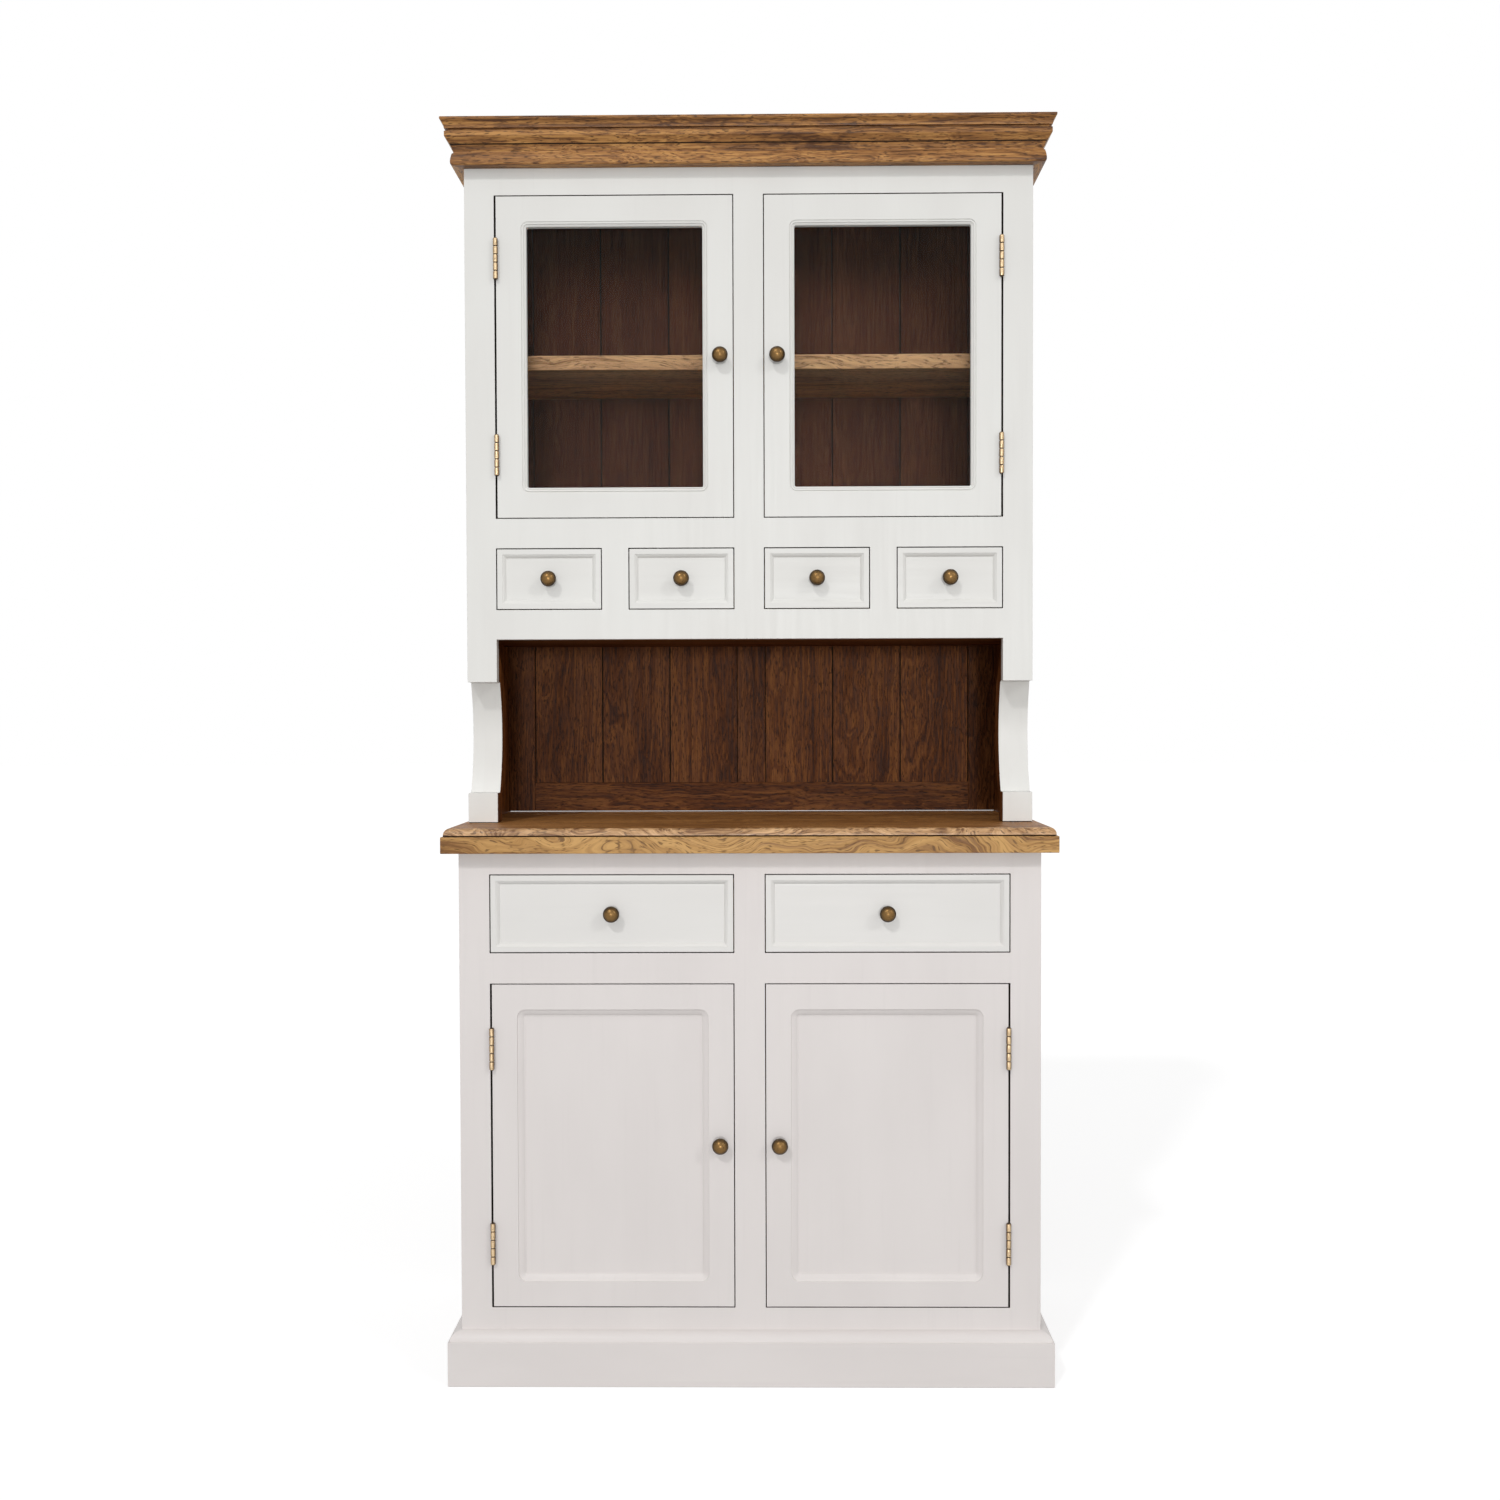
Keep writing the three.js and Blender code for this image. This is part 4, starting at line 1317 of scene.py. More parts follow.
@dataclass(frozen=True)
class Worktop:
    """The thick slab and the thinner board with a rounded edge on top of it."""

    staves: int = 4
    nosing: float = mm(11)
    nosing_steps: int = 10
    undercut: float = mm(2)
    undercut_steps: int = 4
    ease: float = mm(1)
    level: float = 0.97
    shaded_underside: float = -0.15

    def build(self) -> None:
        """Builds and dresses both boards."""
        slab = Box.of("worktop_slab")
        piece = cut_board("worktop_slab_board", slab.low, slab.high, self.ease)
        smooth(piece, angle=50)
        self._finish(piece, slab, "worktop_slab", Finish.SLAB_WOOD)
        top = Box.of("worktop_top_board")
        piece = cut_board("worktop_upper_board", top.low, top.high, ease=0)

        def shown(a: Vector, b: Vector) -> bool:
            """Whether an edge is level and at the front or at an end."""
            return abs(a.z - b.z) < NEAR and min(a.y, b.y) < top.high.y - NEAR

        with shaping(piece, "EDGE"):
            pick_edges(piece, lambda a, b: shown(a, b) and min(a.z, b.z) > top.high.z - NEAR)
            bpy.ops.mesh.bevel(offset=self.nosing, segments=self.nosing_steps, affect="EDGES")
            pick_edges(piece, lambda a, b: shown(a, b) and max(a.z, b.z) < top.low.z + NEAR)
            bpy.ops.mesh.bevel(offset=self.undercut, segments=self.undercut_steps, affect="EDGES")
        smooth(piece)
        self._finish(piece, top, "worktop_top_board", Finish.TOP_WOOD)
        # Every face but the flat top takes the lighter nosing copy, a painted highlight on the
        # rounded edge.
        shelf.dress_part(piece, Finish.NOSE_WOOD, lambda c, n: n.z < self.level)
        # The faces that look down, the undercut along the lower edges, take painted shade: the dark
        # line under the nosing.
        shelf.dress_part(piece, Finish.POOLED_STAIN, lambda c, n: n.z < self.shaded_underside)

    def _finish(self, piece: Piece, box: Box, node: str, finish: Finish) -> None:
        """Glues the board up from staves and oils it.

        Args:
            piece: the board.
            box: its node's box.
            node: the node of the frame that it stands for.
            finish: the oiled wood.
        """
        joints = even_joints(box.low.y, box.size.y, self.staves)
        with shaping(piece):
            for joint in joints:
                score((0, joint, 0), (0, 1, 0))
        finish_off(piece, Staves(Axis.X, Axis.Y, joints), finish, node)


# Hutch


@dataclass(frozen=True)
class HutchCase:
    """The hutch's sides, brackets, face frame, drawer bed, floor and shelf."""

    stile: float = mm(50)
    mullion: float = mm(50)
    muntin: float = mm(45)
    stile_drop: float = mm(72)
    foot_height: float = mm(51)
    foot_depth: float = mm(45)
    foot_chamfer: float = mm(1.5)
    top_setback: float = mm(30)
    middle_setback: float = mm(50)
    foot_setback: float = mm(25)
    rise: float = mm(52)
    rear_reach: float = mm(95)
    apron: float = mm(50)
    drawer_opening: float = mm(104)
    middle_rail: float = mm(50)
    top_rail: float = mm(103)
    ceiling: float = mm(18)
    ledge: float = mm(15)
    guide_rise: float = mm(20)
    stained_reach: float = mm(60)
    shelf_joint: float = 0.46
    curve_steps: int = 24

    def build(self) -> None:
        """Builds and dresses the whole case."""
        self._sides()
        self._face_frame()
        self._drawer_bed()
        self._boards()

    def _front_curve(self, face: float, foot: float, head: float) -> list[Spot]:
        """The hollow front edge between the foot and the stile's end.

        Args:
            face: the face frame's front.
            foot: the top of the square foot.
            head: the stile's lower end.

        Returns:
            The edge's [y, z] points from the foot up.
        """
        low, high = face + self.foot_setback, face + self.top_setback
        pull = face + 2 * self.middle_setback - (self.foot_setback + self.top_setback) / 2
        points = []
        for i in range(self.curve_steps + 1):
            t = i / self.curve_steps
            y = (1 - t) ** 2 * low + 2 * t * (1 - t) * pull + t * t * high
            z = (1 - t) ** 2 * foot + t * (1 - t) * (foot + head) + t * t * head
            points.append((y, z))
        return points

    def _rear_curve(self, face: float, back: float, foot: float, head: float) -> list[Spot]:
        """The bracket's rear edge from the frame's back down to the foot.

        Args:
            face: the face frame's front.
            back: its rear.
            foot: the top of the square foot.
            head: the stile's lower end.

        Returns:
            The edge's [y, z] points from the top down.
        """
        top, low = (back, head + self.rise), (face + self.foot_depth, foot)
        pull = (8 * (face + self.rear_reach) - top[0] - low[0]) / 6
        corners = (top, (pull, head), (pull, foot + self.foot_height / 2), low)
        points = []
        for i in range(self.curve_steps + 1):
            t = i / self.curve_steps
            shares = ((1 - t) ** 3, 3 * t * (1 - t) ** 2, 3 * t * t * (1 - t), t ** 3)
            points.append(tuple(sum(s * p[k] for s, p in zip(shares, corners)) for k in (0, 1)))
        return points

    def _sides(self) -> None:
        """The side panels and, inside them, the curved brackets: painted out, stained in."""
        side, bracket = Box.of("hutch_side_left"), Box.of("bracket_left")
        shaft = Box.of("hutch_face_frame")
        face, back, joint, hair = shaft.low.y, shaft.high.y, side.high.x, mm(0.1)
        foot, head = side.low.z + self.foot_height, shaft.low.z
        front = [(face, side.low.z), (face, foot), *self._front_curve(face, foot, head),
                 (back, head)]
        outer = [*front, (back, side.high.z), (side.high.y, side.high.z),
                 (side.high.y, side.low.z)]
        inner = [*front, *self._rear_curve(face, back, foot, head),
                 (face + self.foot_depth, side.low.z)]

        def beside(a: Vector, b: Vector) -> float:
            """How far an edge reaches from the joint between the side and the bracket."""
            return max(abs(a.x - joint), abs(b.x - joint))

        for name, outline, box in (("hutch_side", outer, side), ("bracket", inner, bracket)):
            points = [Vector((box.low.x, y, z)) for y, z in outline]
            plate = outline_plate(f"{name}_left_panel", points, Vector((box.size.x, 0, 0)))
            with shaping(plate, "VERT"):
                face_outwards(WELD)
            with shaping(plate, "EDGE"):
                pick_edges(plate, lambda a, b: (
                    max(a.z, b.z) < side.low.z + hair and beside(a, b) > hair))
                bpy.ops.mesh.bevel(offset=self.foot_chamfer, segments=1, affect="EDGES")
            ease_edges(plate, mm(0.8), angle=50, spare=lambda a, b: beside(a, b) < hair)
            other = copy_piece(plate, f"{name}_right_panel", Vector(), flip=True)
            for piece, way in ((plate, Side.LEFT), (other, Side.RIGHT)):
                smooth(piece, angle=40)
                finish_off(piece, Staves(Axis.Z, Axis.Y), Finish.HUTCH_PAINT,
                           f"{name}_{way.name.lower()}", f"hutch_end_{way.value}")
                self._stain(piece, way, back if name == "bracket" else math.inf)
                # The chamfer round the foot takes painted shade: the dark contact line where the
                # side meets the worktop.
                shelf.dress_part(piece, Finish.POOLED_STAIN, lambda c, n: (
                    n.z < -LEANING and c.z < side.low.z + self.foot_chamfer))

    def _stain(self, piece: Piece, way: Side, rear: float) -> None:
        """Stains the faces that look into the hutch.

        Args:
            piece: a side or a bracket.
            way: the side of the hutch that it stands on.
            rear: the face frame's rear, near which a bracket's edge is stained too.
        """
        start = rear - self.stained_reach
        shelf.dress_part(piece, Finish.DARK_STAIN, lambda c, n: (
            n.x * way.value < -FACING
            or (n.y > LEANING and abs(n.x) < LEANING and c.y > start)))

    def _columns(self) -> tuple[float, float, float, float]:
        """The upright edges of the two small drawer openings on the right.

        Returns:
            The edges, from the middle outwards.
        """
        inner, middle = Box.of("hutch_face_frame").high.x - self.stile, self.mullion / 2
        centre, half = (inner + middle) / 2, self.muntin / 2
        return middle, centre - half, centre + half, inner

    def _face_frame(self) -> None:
        """The face frame with four small drawer openings and two glazed ones."""
        box = Box.of("hutch_face_frame")
        middle, near, far, inner = self._columns()
        sill = box.low.z + self.stile_drop + self.apron
        head = sill + self.drawer_opening
        door_sill, door_head = head + self.middle_rail, box.high.z - self.top_rail
        openings = []
        for left, right, low, high in ((middle, near, sill, head), (far, inner, sill, head),
                                       (middle, inner, door_sill, door_head)):
            openings += [Opening(left, right, low, high), Opening(-right, -left, low, high)]
        FaceFrame("hutch_face_frame_blank", "hutch_face_frame", box.low.z + self.stile_drop,
                  self.stile, tuple(openings), Finish.HUTCH_PAINT).build()

    def _drawer_bed(self) -> None:
        """The niche's ceiling and the runners and guides on it."""
        box = Box.of("small_drawer_bed")
        middle, near, far, inner = self._columns()
        base, floor = box.low.z + self.ceiling, box.low.z + self.apron
        ceiling = cut_board(
            "niche_ceiling_board", box.low, (box.high.x, box.high.y, base), ease=mm(0.6))
        staves = Staves(Axis.X, Axis.Y, ((box.low.y + box.high.y) / 2,))
        finish_off(ceiling, staves, Finish.DARK_STAIN, "small_drawer_bed", "niche_ceiling")
        parts = []
        spans = ((box.low.x, -inner), (-far, -near), (-middle, middle), (near, far),
                 (inner, box.high.x))
        for i, (low, high) in enumerate(spans):
            wide = (max(low - self.ledge, box.low.x), min(high + self.ledge, box.high.x))
            for j, (x0, x1, z0, z1) in enumerate(
                    ((*wide, base, floor), (low, high, floor, floor + self.guide_rise))):
                part = cut_board("runner", (x0, box.low.y, z0), (x1, box.high.y, z1), ease=mm(0.5))
                lay_grain(part, Staves(Axis.Y, Axis.X), f"runner_{i}_{j}")
                parts.append(part)
        piece = join_pieces("small_drawer_runners", parts)
        shelf.dress(piece, Finish.DRAWER_WOOD)
        fit(piece, "root", "small_drawer_bed")

    def _boards(self) -> None:
        """The glazed cupboard's floor, and its shelf in a much lighter copy of the stain that
        paints in the light on its front edge.
        """
        for node, finish in (("hutch_floor", Finish.DARK_STAIN),
                             ("hutch_shelf", Finish.SHELF_WOOD)):
            box = Box.of(node)
            piece = cut_board(f"{node}_board", box.low, box.high, ease=mm(1.2))
            joint = box.low.y + box.size.y * self.shelf_joint
            with shaping(piece):
                score((0, joint, 0), (0, 1, 0))
            finish_off(piece, Staves(Axis.X, Axis.Y, (joint,)), finish, node)


@dataclass(frozen=True)
class HutchBack:
    """The hutch's back: rails, stiles and a muntin in front of six grooved boards."""

    stile: float = mm(50)
    muntin: float = mm(52)
    rail: float = mm(50)
    middle_low: float = mm(1225)
    middle_high: float = mm(1429)
    boards: int = 3
    groove: float = mm(1.3)
    rear_groove: float = mm(1)
    rear_lean: float = 0.5
    clearance: float = mm(1.5)
    pin_shares: tuple[float, float] = (0.2, 0.8)
    edge_pin: float = mm(22)
    rail_pin: float = mm(30)

    def build(self) -> None:
        """Builds and dresses the frame and the boards."""
        box = Box.of("hutch_back_frame")
        inner, half = box.high.x - self.stile, self.muntin / 2
        low, high = Box.of("worktop_top_board").high.z + self.clearance, box.high.z
        rail_low, rail_top = high - self.rail, box.low.z + self.rail
        for label, x0, x1, z0, z1, run in (
                ("left_stile", box.low.x, -inner, low, high, Axis.Z),
                ("right_stile", inner, box.high.x, low, high, Axis.Z),
                ("bottom_rail", -inner, inner, low, rail_top, Axis.X),
                ("middle_rail", -inner, inner, self.middle_low, self.middle_high, Axis.X),
                ("top_rail", -inner, inner, rail_low, high, Axis.X),
                ("lower_muntin", -half, half, rail_top, self.middle_low, Axis.Z),
                ("upper_muntin", -half, half, self.middle_high, rail_low, Axis.Z)):
            piece = cut_board(
                f"hutch_back_{label}", (x0, box.low.y, z0), (x1, box.high.y, z1), ease=mm(0.7))
            self._stain(piece, Staves(run, Axis.X if run is Axis.Z else Axis.Z))
            fit(piece, "root", "hutch_back_frame")
        self._lining(inner, half)

    def _stain(self, piece: Piece, staves: Staves) -> None:
        """Stains a piece, and above the middle of the rail that hides the change, behind the glass,
        gives it a calmer, bluer copy of the stain with the glass's sheen and the cupboard's shade
        painted in.

        Args:
            piece: the piece, not dressed yet.
            staves: the run of its grain.
        """
        level = (self.middle_low + self.middle_high) / 2
        with shaping(piece):
            score((0, 0, level), (0, 0, 1))
        lay_grain(piece, staves)
        shelf.dress(piece, Finish.DARK_STAIN)
        # Above the hidden change the faces take the copy with the painted sheen and shade.
        shelf.dress_part(
            piece, Finish.CUPBOARD_STAIN, lambda c, n: c.z > level and n.y < self.rear_lean)

    def _lining(self, inner: float, half: float) -> None:
        """The boards, each with a V-shaped channel along its joints, also beside the frame.

        Args:
            inner: the inner edge of the frame's right stile.
            half: half of its muntin's width.
        """
        box, upright = Box.of("hutch_back_boards"), mm(100)
        step = (inner - half) / self.boards
        joints = [0.0, *(half + i * step for i in range(self.boards + 1)), box.high.x]
        spans = list(zip(joints, joints[1:]))
        spans = [(-right, -left) for left, right in reversed(spans)] + spans
        for i, (left, right) in enumerate(spans):
            piece = cut_board(f"hutch_back_board_{i + 1}", (left, box.low.y, box.low.z),
                              (right, box.high.y, box.high.z), ease=0)
            with shaping(piece, "EDGE"):
                pick_edges(piece, lambda a, b: (
                    max(a.y, b.y) < box.low.y + NEAR and abs(a.z - b.z) > upright))
                bpy.ops.mesh.bevel(offset=self.groove, segments=1, affect="EDGES")
                pick_edges(piece, lambda a, b: (
                    min(a.y, b.y) > box.high.y - NEAR and abs(a.z - b.z) > upright))
                bpy.ops.mesh.bevel(offset=self.rear_groove, segments=1, affect="EDGES")
            self._stain(piece, Staves(Axis.Z, Axis.X))
            # The faces of the V-channels take painted shade, which darkens the joints between the
            # boards.
            shelf.dress_part(piece, Finish.POOLED_STAIN, lambda c, n: (
                abs(n.y) > LEANING and abs(n.x) > LEANING))
            fit(piece, "root", "hutch_back_boards")
        heights = (box.low.z + self.edge_pin, self.middle_low + self.rail_pin,
                   self.middle_high - self.rail_pin, box.high.z - self.edge_pin)
        spots = [(left + (right - left) * share, z)
                 for left, right in spans for share in self.pin_shares for z in heights]
        PanelPins().drive("hutch_back_pins", spots, box.high.y)


@dataclass(frozen=True)
class Crown:
    """The cornice moulding round the hutch's top and the cap board above it."""

    cap_frame: float = mm(60)
    panel_ease: float = mm(0.5)
    # The band of the cornice's height, as shares, whose crease takes painted shade.
    shadow: tuple[float, float] = (0.57, 0.598)
    cornice: tuple[Spot, ...] = (
        (0.0, 0.0), (0.61, 0.0), (0.66, 0.01), (0.69, 0.035), (0.704, 0.07), (0.704, 0.115),
        (0.694, 0.165), (0.672, 0.225), (0.642, 0.285), (0.61, 0.335), (0.585, 0.347),
        (0.545, 0.352), (0.532, 0.372), (0.532, 0.402), (0.548, 0.422), (0.58, 0.44),
        (0.60, 0.49), (0.635, 0.535), (0.675, 0.57), (0.70, 0.588), (0.74, 0.598), (0.78, 0.633),
        (0.83, 0.668), (0.885, 0.702), (0.94, 0.739), (0.975, 0.765), (0.992, 0.775), (1.0, 0.79),
        (1.0, 0.905), (0.988, 0.925), (0.82, 0.93), (0.82, 1.0), (0.0, 1.0))
    cap: tuple[Spot, ...] = (
        (0.81, 0.0), (0.82, 0.13), (0.838, 0.28), (0.868, 0.43), (0.908, 0.56), (0.95, 0.66),
        (0.985, 0.73), (1.0, 0.80), (1.0, 0.95), (0.985, 1.0))

    def build(self) -> None:
        """Builds and dresses the cornice and the cap.

        The cornice is a square-footed bead, a leaning frieze, a slope that spreads above it and a
        fillet. The cap has a hollow lower edge under a square upper one.
        """
        case, moulding, cap = (Box.of(n) for n in ("hutch_face_frame", "cornice", "hutch_cap"))
        half, front = case.high.x, case.low.y
        reach, tall = front - moulding.low.y, moulding.size.z
        profile = Profile(tuple((o * reach, u * tall) for o, u in self.cornice))
        lengths = wrap_case("cornice", profile, half, front, moulding.high.y, moulding.low.z)
        self._dress(lengths, "cornice")
        reach, tall = front - cap.low.y, cap.size.z
        profile = Profile(((-self.cap_frame, 0.0), *((o * reach, u * tall) for o, u in self.cap),
                           (-self.cap_frame, tall)))
        lengths = wrap_case("cap_edge", profile, half, front, cap.high.y, cap.low.z)
        self._dress(lengths, "hutch_cap")
        inner = half - self.cap_frame
        start = front + self.cap_frame
        board = cut_board("cap_panel", (-inner, start, cap.low.z),
                          (inner, cap.high.y, cap.high.z), self.panel_ease)
        joint = (start + self.panel_ease + cap.high.y) / 2
        finish_off(board, Staves(Axis.X, Axis.Y, (joint,)), Finish.CORNICE_WOOD, "hutch_cap")

    def _dress(self, lengths: Sequence[Piece], node: str) -> None:
        """Smooths, grains and stains a moulding, with painted shade in the cornice's crease.

        Args:
            lengths: the left, front and right lengths.
            node: the node of the frame that they stand for.
        """
        low, tall = Box.of(node).low.z, Box.of(node).size.z
        start, end = self.shadow
        for piece, run in zip(lengths, (Axis.Y, Axis.X, Axis.Y)):
            smooth(piece)
            finish_off(piece, Staves(run, Axis.Z), Finish.CORNICE_WOOD, node)
            if node == "cornice":
                # Painted shade: the faces in the crease under the slope take the near-black finish.
                shelf.dress_part(piece, Finish.POOLED_STAIN, lambda c, n: (
                    start < (c.z - low) / tall < end and abs(n.z) < SQUARE))


# Hardware


@dataclass(frozen=True)
class KnobPattern:
    """The turned knob: a narrow neck, a rim and a low dome."""

    steps: int = 48
    profile: tuple[Spot, ...] = (
        (0.0, 0.0), (0.60, 0.0), (0.62, 0.02), (0.62, 0.07), (0.58, 0.10), (0.48, 0.13),
        (0.43, 0.18), (0.42, 0.26), (0.43, 0.34), (0.50, 0.40), (0.64, 0.45), (0.82, 0.50),
        (0.94, 0.55), (1.0, 0.61), (0.99, 0.66), (0.95, 0.69), (0.90, 0.695), (0.87, 0.71),
        (0.85, 0.75), (0.80, 0.81), (0.70, 0.87), (0.56, 0.925), (0.40, 0.965), (0.20, 0.99),
        (0.0, 1.0))
    worn_from: float = 0.52
    worn_gain: float = 3.2
    dome_wear: float = 1.55
    rim_loss: float = 2.4
    least_wear: float = 0.25

    def build(self, box: Box) -> Piece:
        """Turns one knob in the place of a node of the frame.

        Args:
            box: the node's box, whose rear face is where the knob is screwed on.

        Returns:
            The knob, undressed.
        """
        seat, out = Vector((box.centre.x, box.high.y, box.centre.z)), Vector((0, -1, 0))
        radius, length = box.size.x / 2, box.size.y
        points = [seat + Vector((r * radius, -u * length, 0)) for r, u in self.profile]
        piece = draw_outline("knob_pattern", points, closed=False)
        with shaping(piece, "VERT"):
            pick_all()
            bpy.ops.mesh.spin(steps=self.steps, angle=2 * math.pi, center=seat, axis=(0, 1, 0))
            face_outwards(WELD)
        smooth(piece, angle=38)

        def wear(point: Vector) -> float:
            """The wear, which is strongest on the middle of the dome.

            Args:
                point: a point of the knob.

            Returns:
                Its wear.
            """
            way = point - seat
            rise = way.dot(out) / length
            aside = (way - out * rise * length).length / length
            dome = max(self.least_wear, self.dome_wear - self.rim_loss * aside)
            return min(1.0, max(0.0, (rise - self.worn_from) * self.worn_gain)) * min(1.0, dome)

        wear_down(piece, wear)
        shelf.dress(piece, Finish.BRASS)
        return piece


@dataclass(frozen=True)
class HingePattern:
    """A butt hinge in two halves, whose knuckles take turns on the frame and on the door."""

    radius: float = mm(4)
    barrel_sides: int = 28
    knuckles: int = 5
    rim_ease: float = mm(0.6)
    leaf: float = mm(1.1)
    leaf_gap: float = mm(0.8)
    leaf_margin: float = mm(0.3)
    gap: float = mm(3)
    slit: float = mm(1.2)
    pin: float = mm(2.8)
    pin_sides: int = 24
    pin_ease: float = mm(0.4)
    screw: float = mm(2.9)
    screw_sides: int = 20
    screw_head: float = mm(0.5)
    screw_shares: tuple[float, float, float] = (0.18, 0.5, 0.82)
    slot_depth: float = mm(0.6)
    slot_half: float = mm(0.35)
    slot_reach: float = 1.2
    ease: float = mm(0.2)
    least_wear: float = 0.15
    # How much brighter the front of the barrel is: rubbing, with a painted highlight in it.
    ridge_highlight: float = 0.8
    ridge_power: float = 1.5
    rim_wear: float = 0.35
    rim_reach: float = mm(1)
    leaf_wear: float = 0.45
    tab_wear: float = 0.2
    screw_wear: float = 0.6

    def build(self, box: Box) -> tuple[Piece, Piece]:
        """Builds a left hinge in the place of a node of the frame.

        Args:
            box: the node's box.

        Returns:
            The half on the frame and the half on the door.
        """
        axis = Vector(((box.low.x + box.high.x) / 2, box.low.y + self.radius, 0))
        step = (box.size.z - self.slit) / self.knuckles
        frame_parts, door_parts = [self._pin(axis, box.low.z, box.high.z)], []
        for i in range(self.knuckles):
            low = box.low.z + self.slit / 2 + i * step
            on_door = i % 2 == 1
            x = axis.x if on_door else axis.x - self.gap
            sides = (x - self.leaf, x) if on_door else (x, x + self.leaf)
            knuckle = self._knuckle(axis, low + self.slit / 2, low + step - self.slit / 2)
            tab = cut_board("tab", (sides[0], axis.y, low + self.slit),
                            (sides[1], box.high.y, low + step - self.slit), self.ease)
            wear_down(tab, lambda point: self.tab_wear)
            (door_parts if on_door else frame_parts).extend((knuckle, tab))
        for parts, x, way in ((frame_parts, axis.x - self.gap + self.leaf, 1),
                              (door_parts, axis.x - self.leaf, -1)):
            parts += self._leaf(box, x, axis.y + self.radius + self.leaf_gap, way)
        return (join_pieces("hinge_frame_half", frame_parts),
                join_pieces("hinge_door_half", door_parts))

    def _leaf(self, box: Box, face: float, front: float, way: int) -> list[Piece]:
        """One flat leaf and its screws.

        Args:
            box: the hinge's box.
            face: where the leaf's open face lies along X.
            front: where its front edge lies.
            way: the sign of the direction along X that the open face looks in.

        Returns:
            The leaf and the screws.
        """
        sides = (face - self.leaf, face) if way > 0 else (face, face + self.leaf)
        leaf = cut_board("plate", (sides[0], front, box.low.z + self.leaf_margin),
                         (sides[1], box.high.y, box.high.z - self.leaf_margin), self.ease)
        wear_down(leaf, lambda point: self.leaf_wear)
        middle = (front + box.high.y) / 2
        screws = [self._screw(Vector((face, middle, box.low.z + box.size.z * share)), way)
                  for share in self.screw_shares]
        return [leaf, *screws]

    def _knuckle(self, axis: Vector, low: float, high: float) -> Piece:
        """One knuckle of the barrel with eased rims.

        Args:
            axis: the point that the barrel's middle passes through.
            low: the knuckle's lower end.
            high: its upper end.

        Returns:
            The knuckle.
        """
        middle = (axis.x, axis.y, (low + high) / 2)
        piece = turn_rod(self.radius, high - low, middle, Axis.Z, self.barrel_sides)
        ease_edges(piece, self.rim_ease, segments=3)

        def wear(point: Vector) -> float:
            """The wear value: highest down the front of the barrel, as rubbing and as a painted
            highlight, and lower near the rims.

            Args:
                point: a point of the knuckle.

            Returns:
                Its wear.
            """
            ridge = max(0.0, (axis.y - point.y) / self.radius)
            rim = min(point.z - low, high - point.z)
            edge = min(1.0, self.rim_wear + rim / self.rim_reach)
            return self.least_wear + self.ridge_highlight * ridge ** self.ridge_power * edge

        wear_down(piece, wear)
        return piece

    def _pin(self, axis: Vector, low: float, high: float) -> Piece:
        """The tarnished pin through the barrel.

        Args:
            axis: the point that the barrel's middle passes through.
            low: the pin's lower end.
            high: its upper end.

        Returns:
            The pin.
        """
        middle = (axis.x, axis.y, (low + high) / 2)
        piece = turn_rod(self.pin, high - low, middle, Axis.Z, self.pin_sides)
        ease_edges(piece, self.pin_ease)
        wear_down(piece, lambda point: 0.0)
        return piece

    def _screw(self, spot: Vector, way: int) -> Piece:
        """A slotted screw head, flush in a leaf.

        Args:
            spot: the head's middle, in the leaf's open face.
            way: the sign of the direction along X that the head looks in.

        Returns:
            The screw head.
        """
        piece = turn_rod(self.screw, self.screw_head, spot, Axis.X, self.screw_sides)
        middle = spot + Vector((way * self.slot_depth, 0, 0))
        reach = Vector((self.slot_depth, self.screw * self.slot_reach, self.slot_half))
        carve(piece, cut_board("slot", middle - reach, middle + reach, ease=0))
        wear_down(piece, lambda point: self.screw_wear)
        return piece


# Drawers


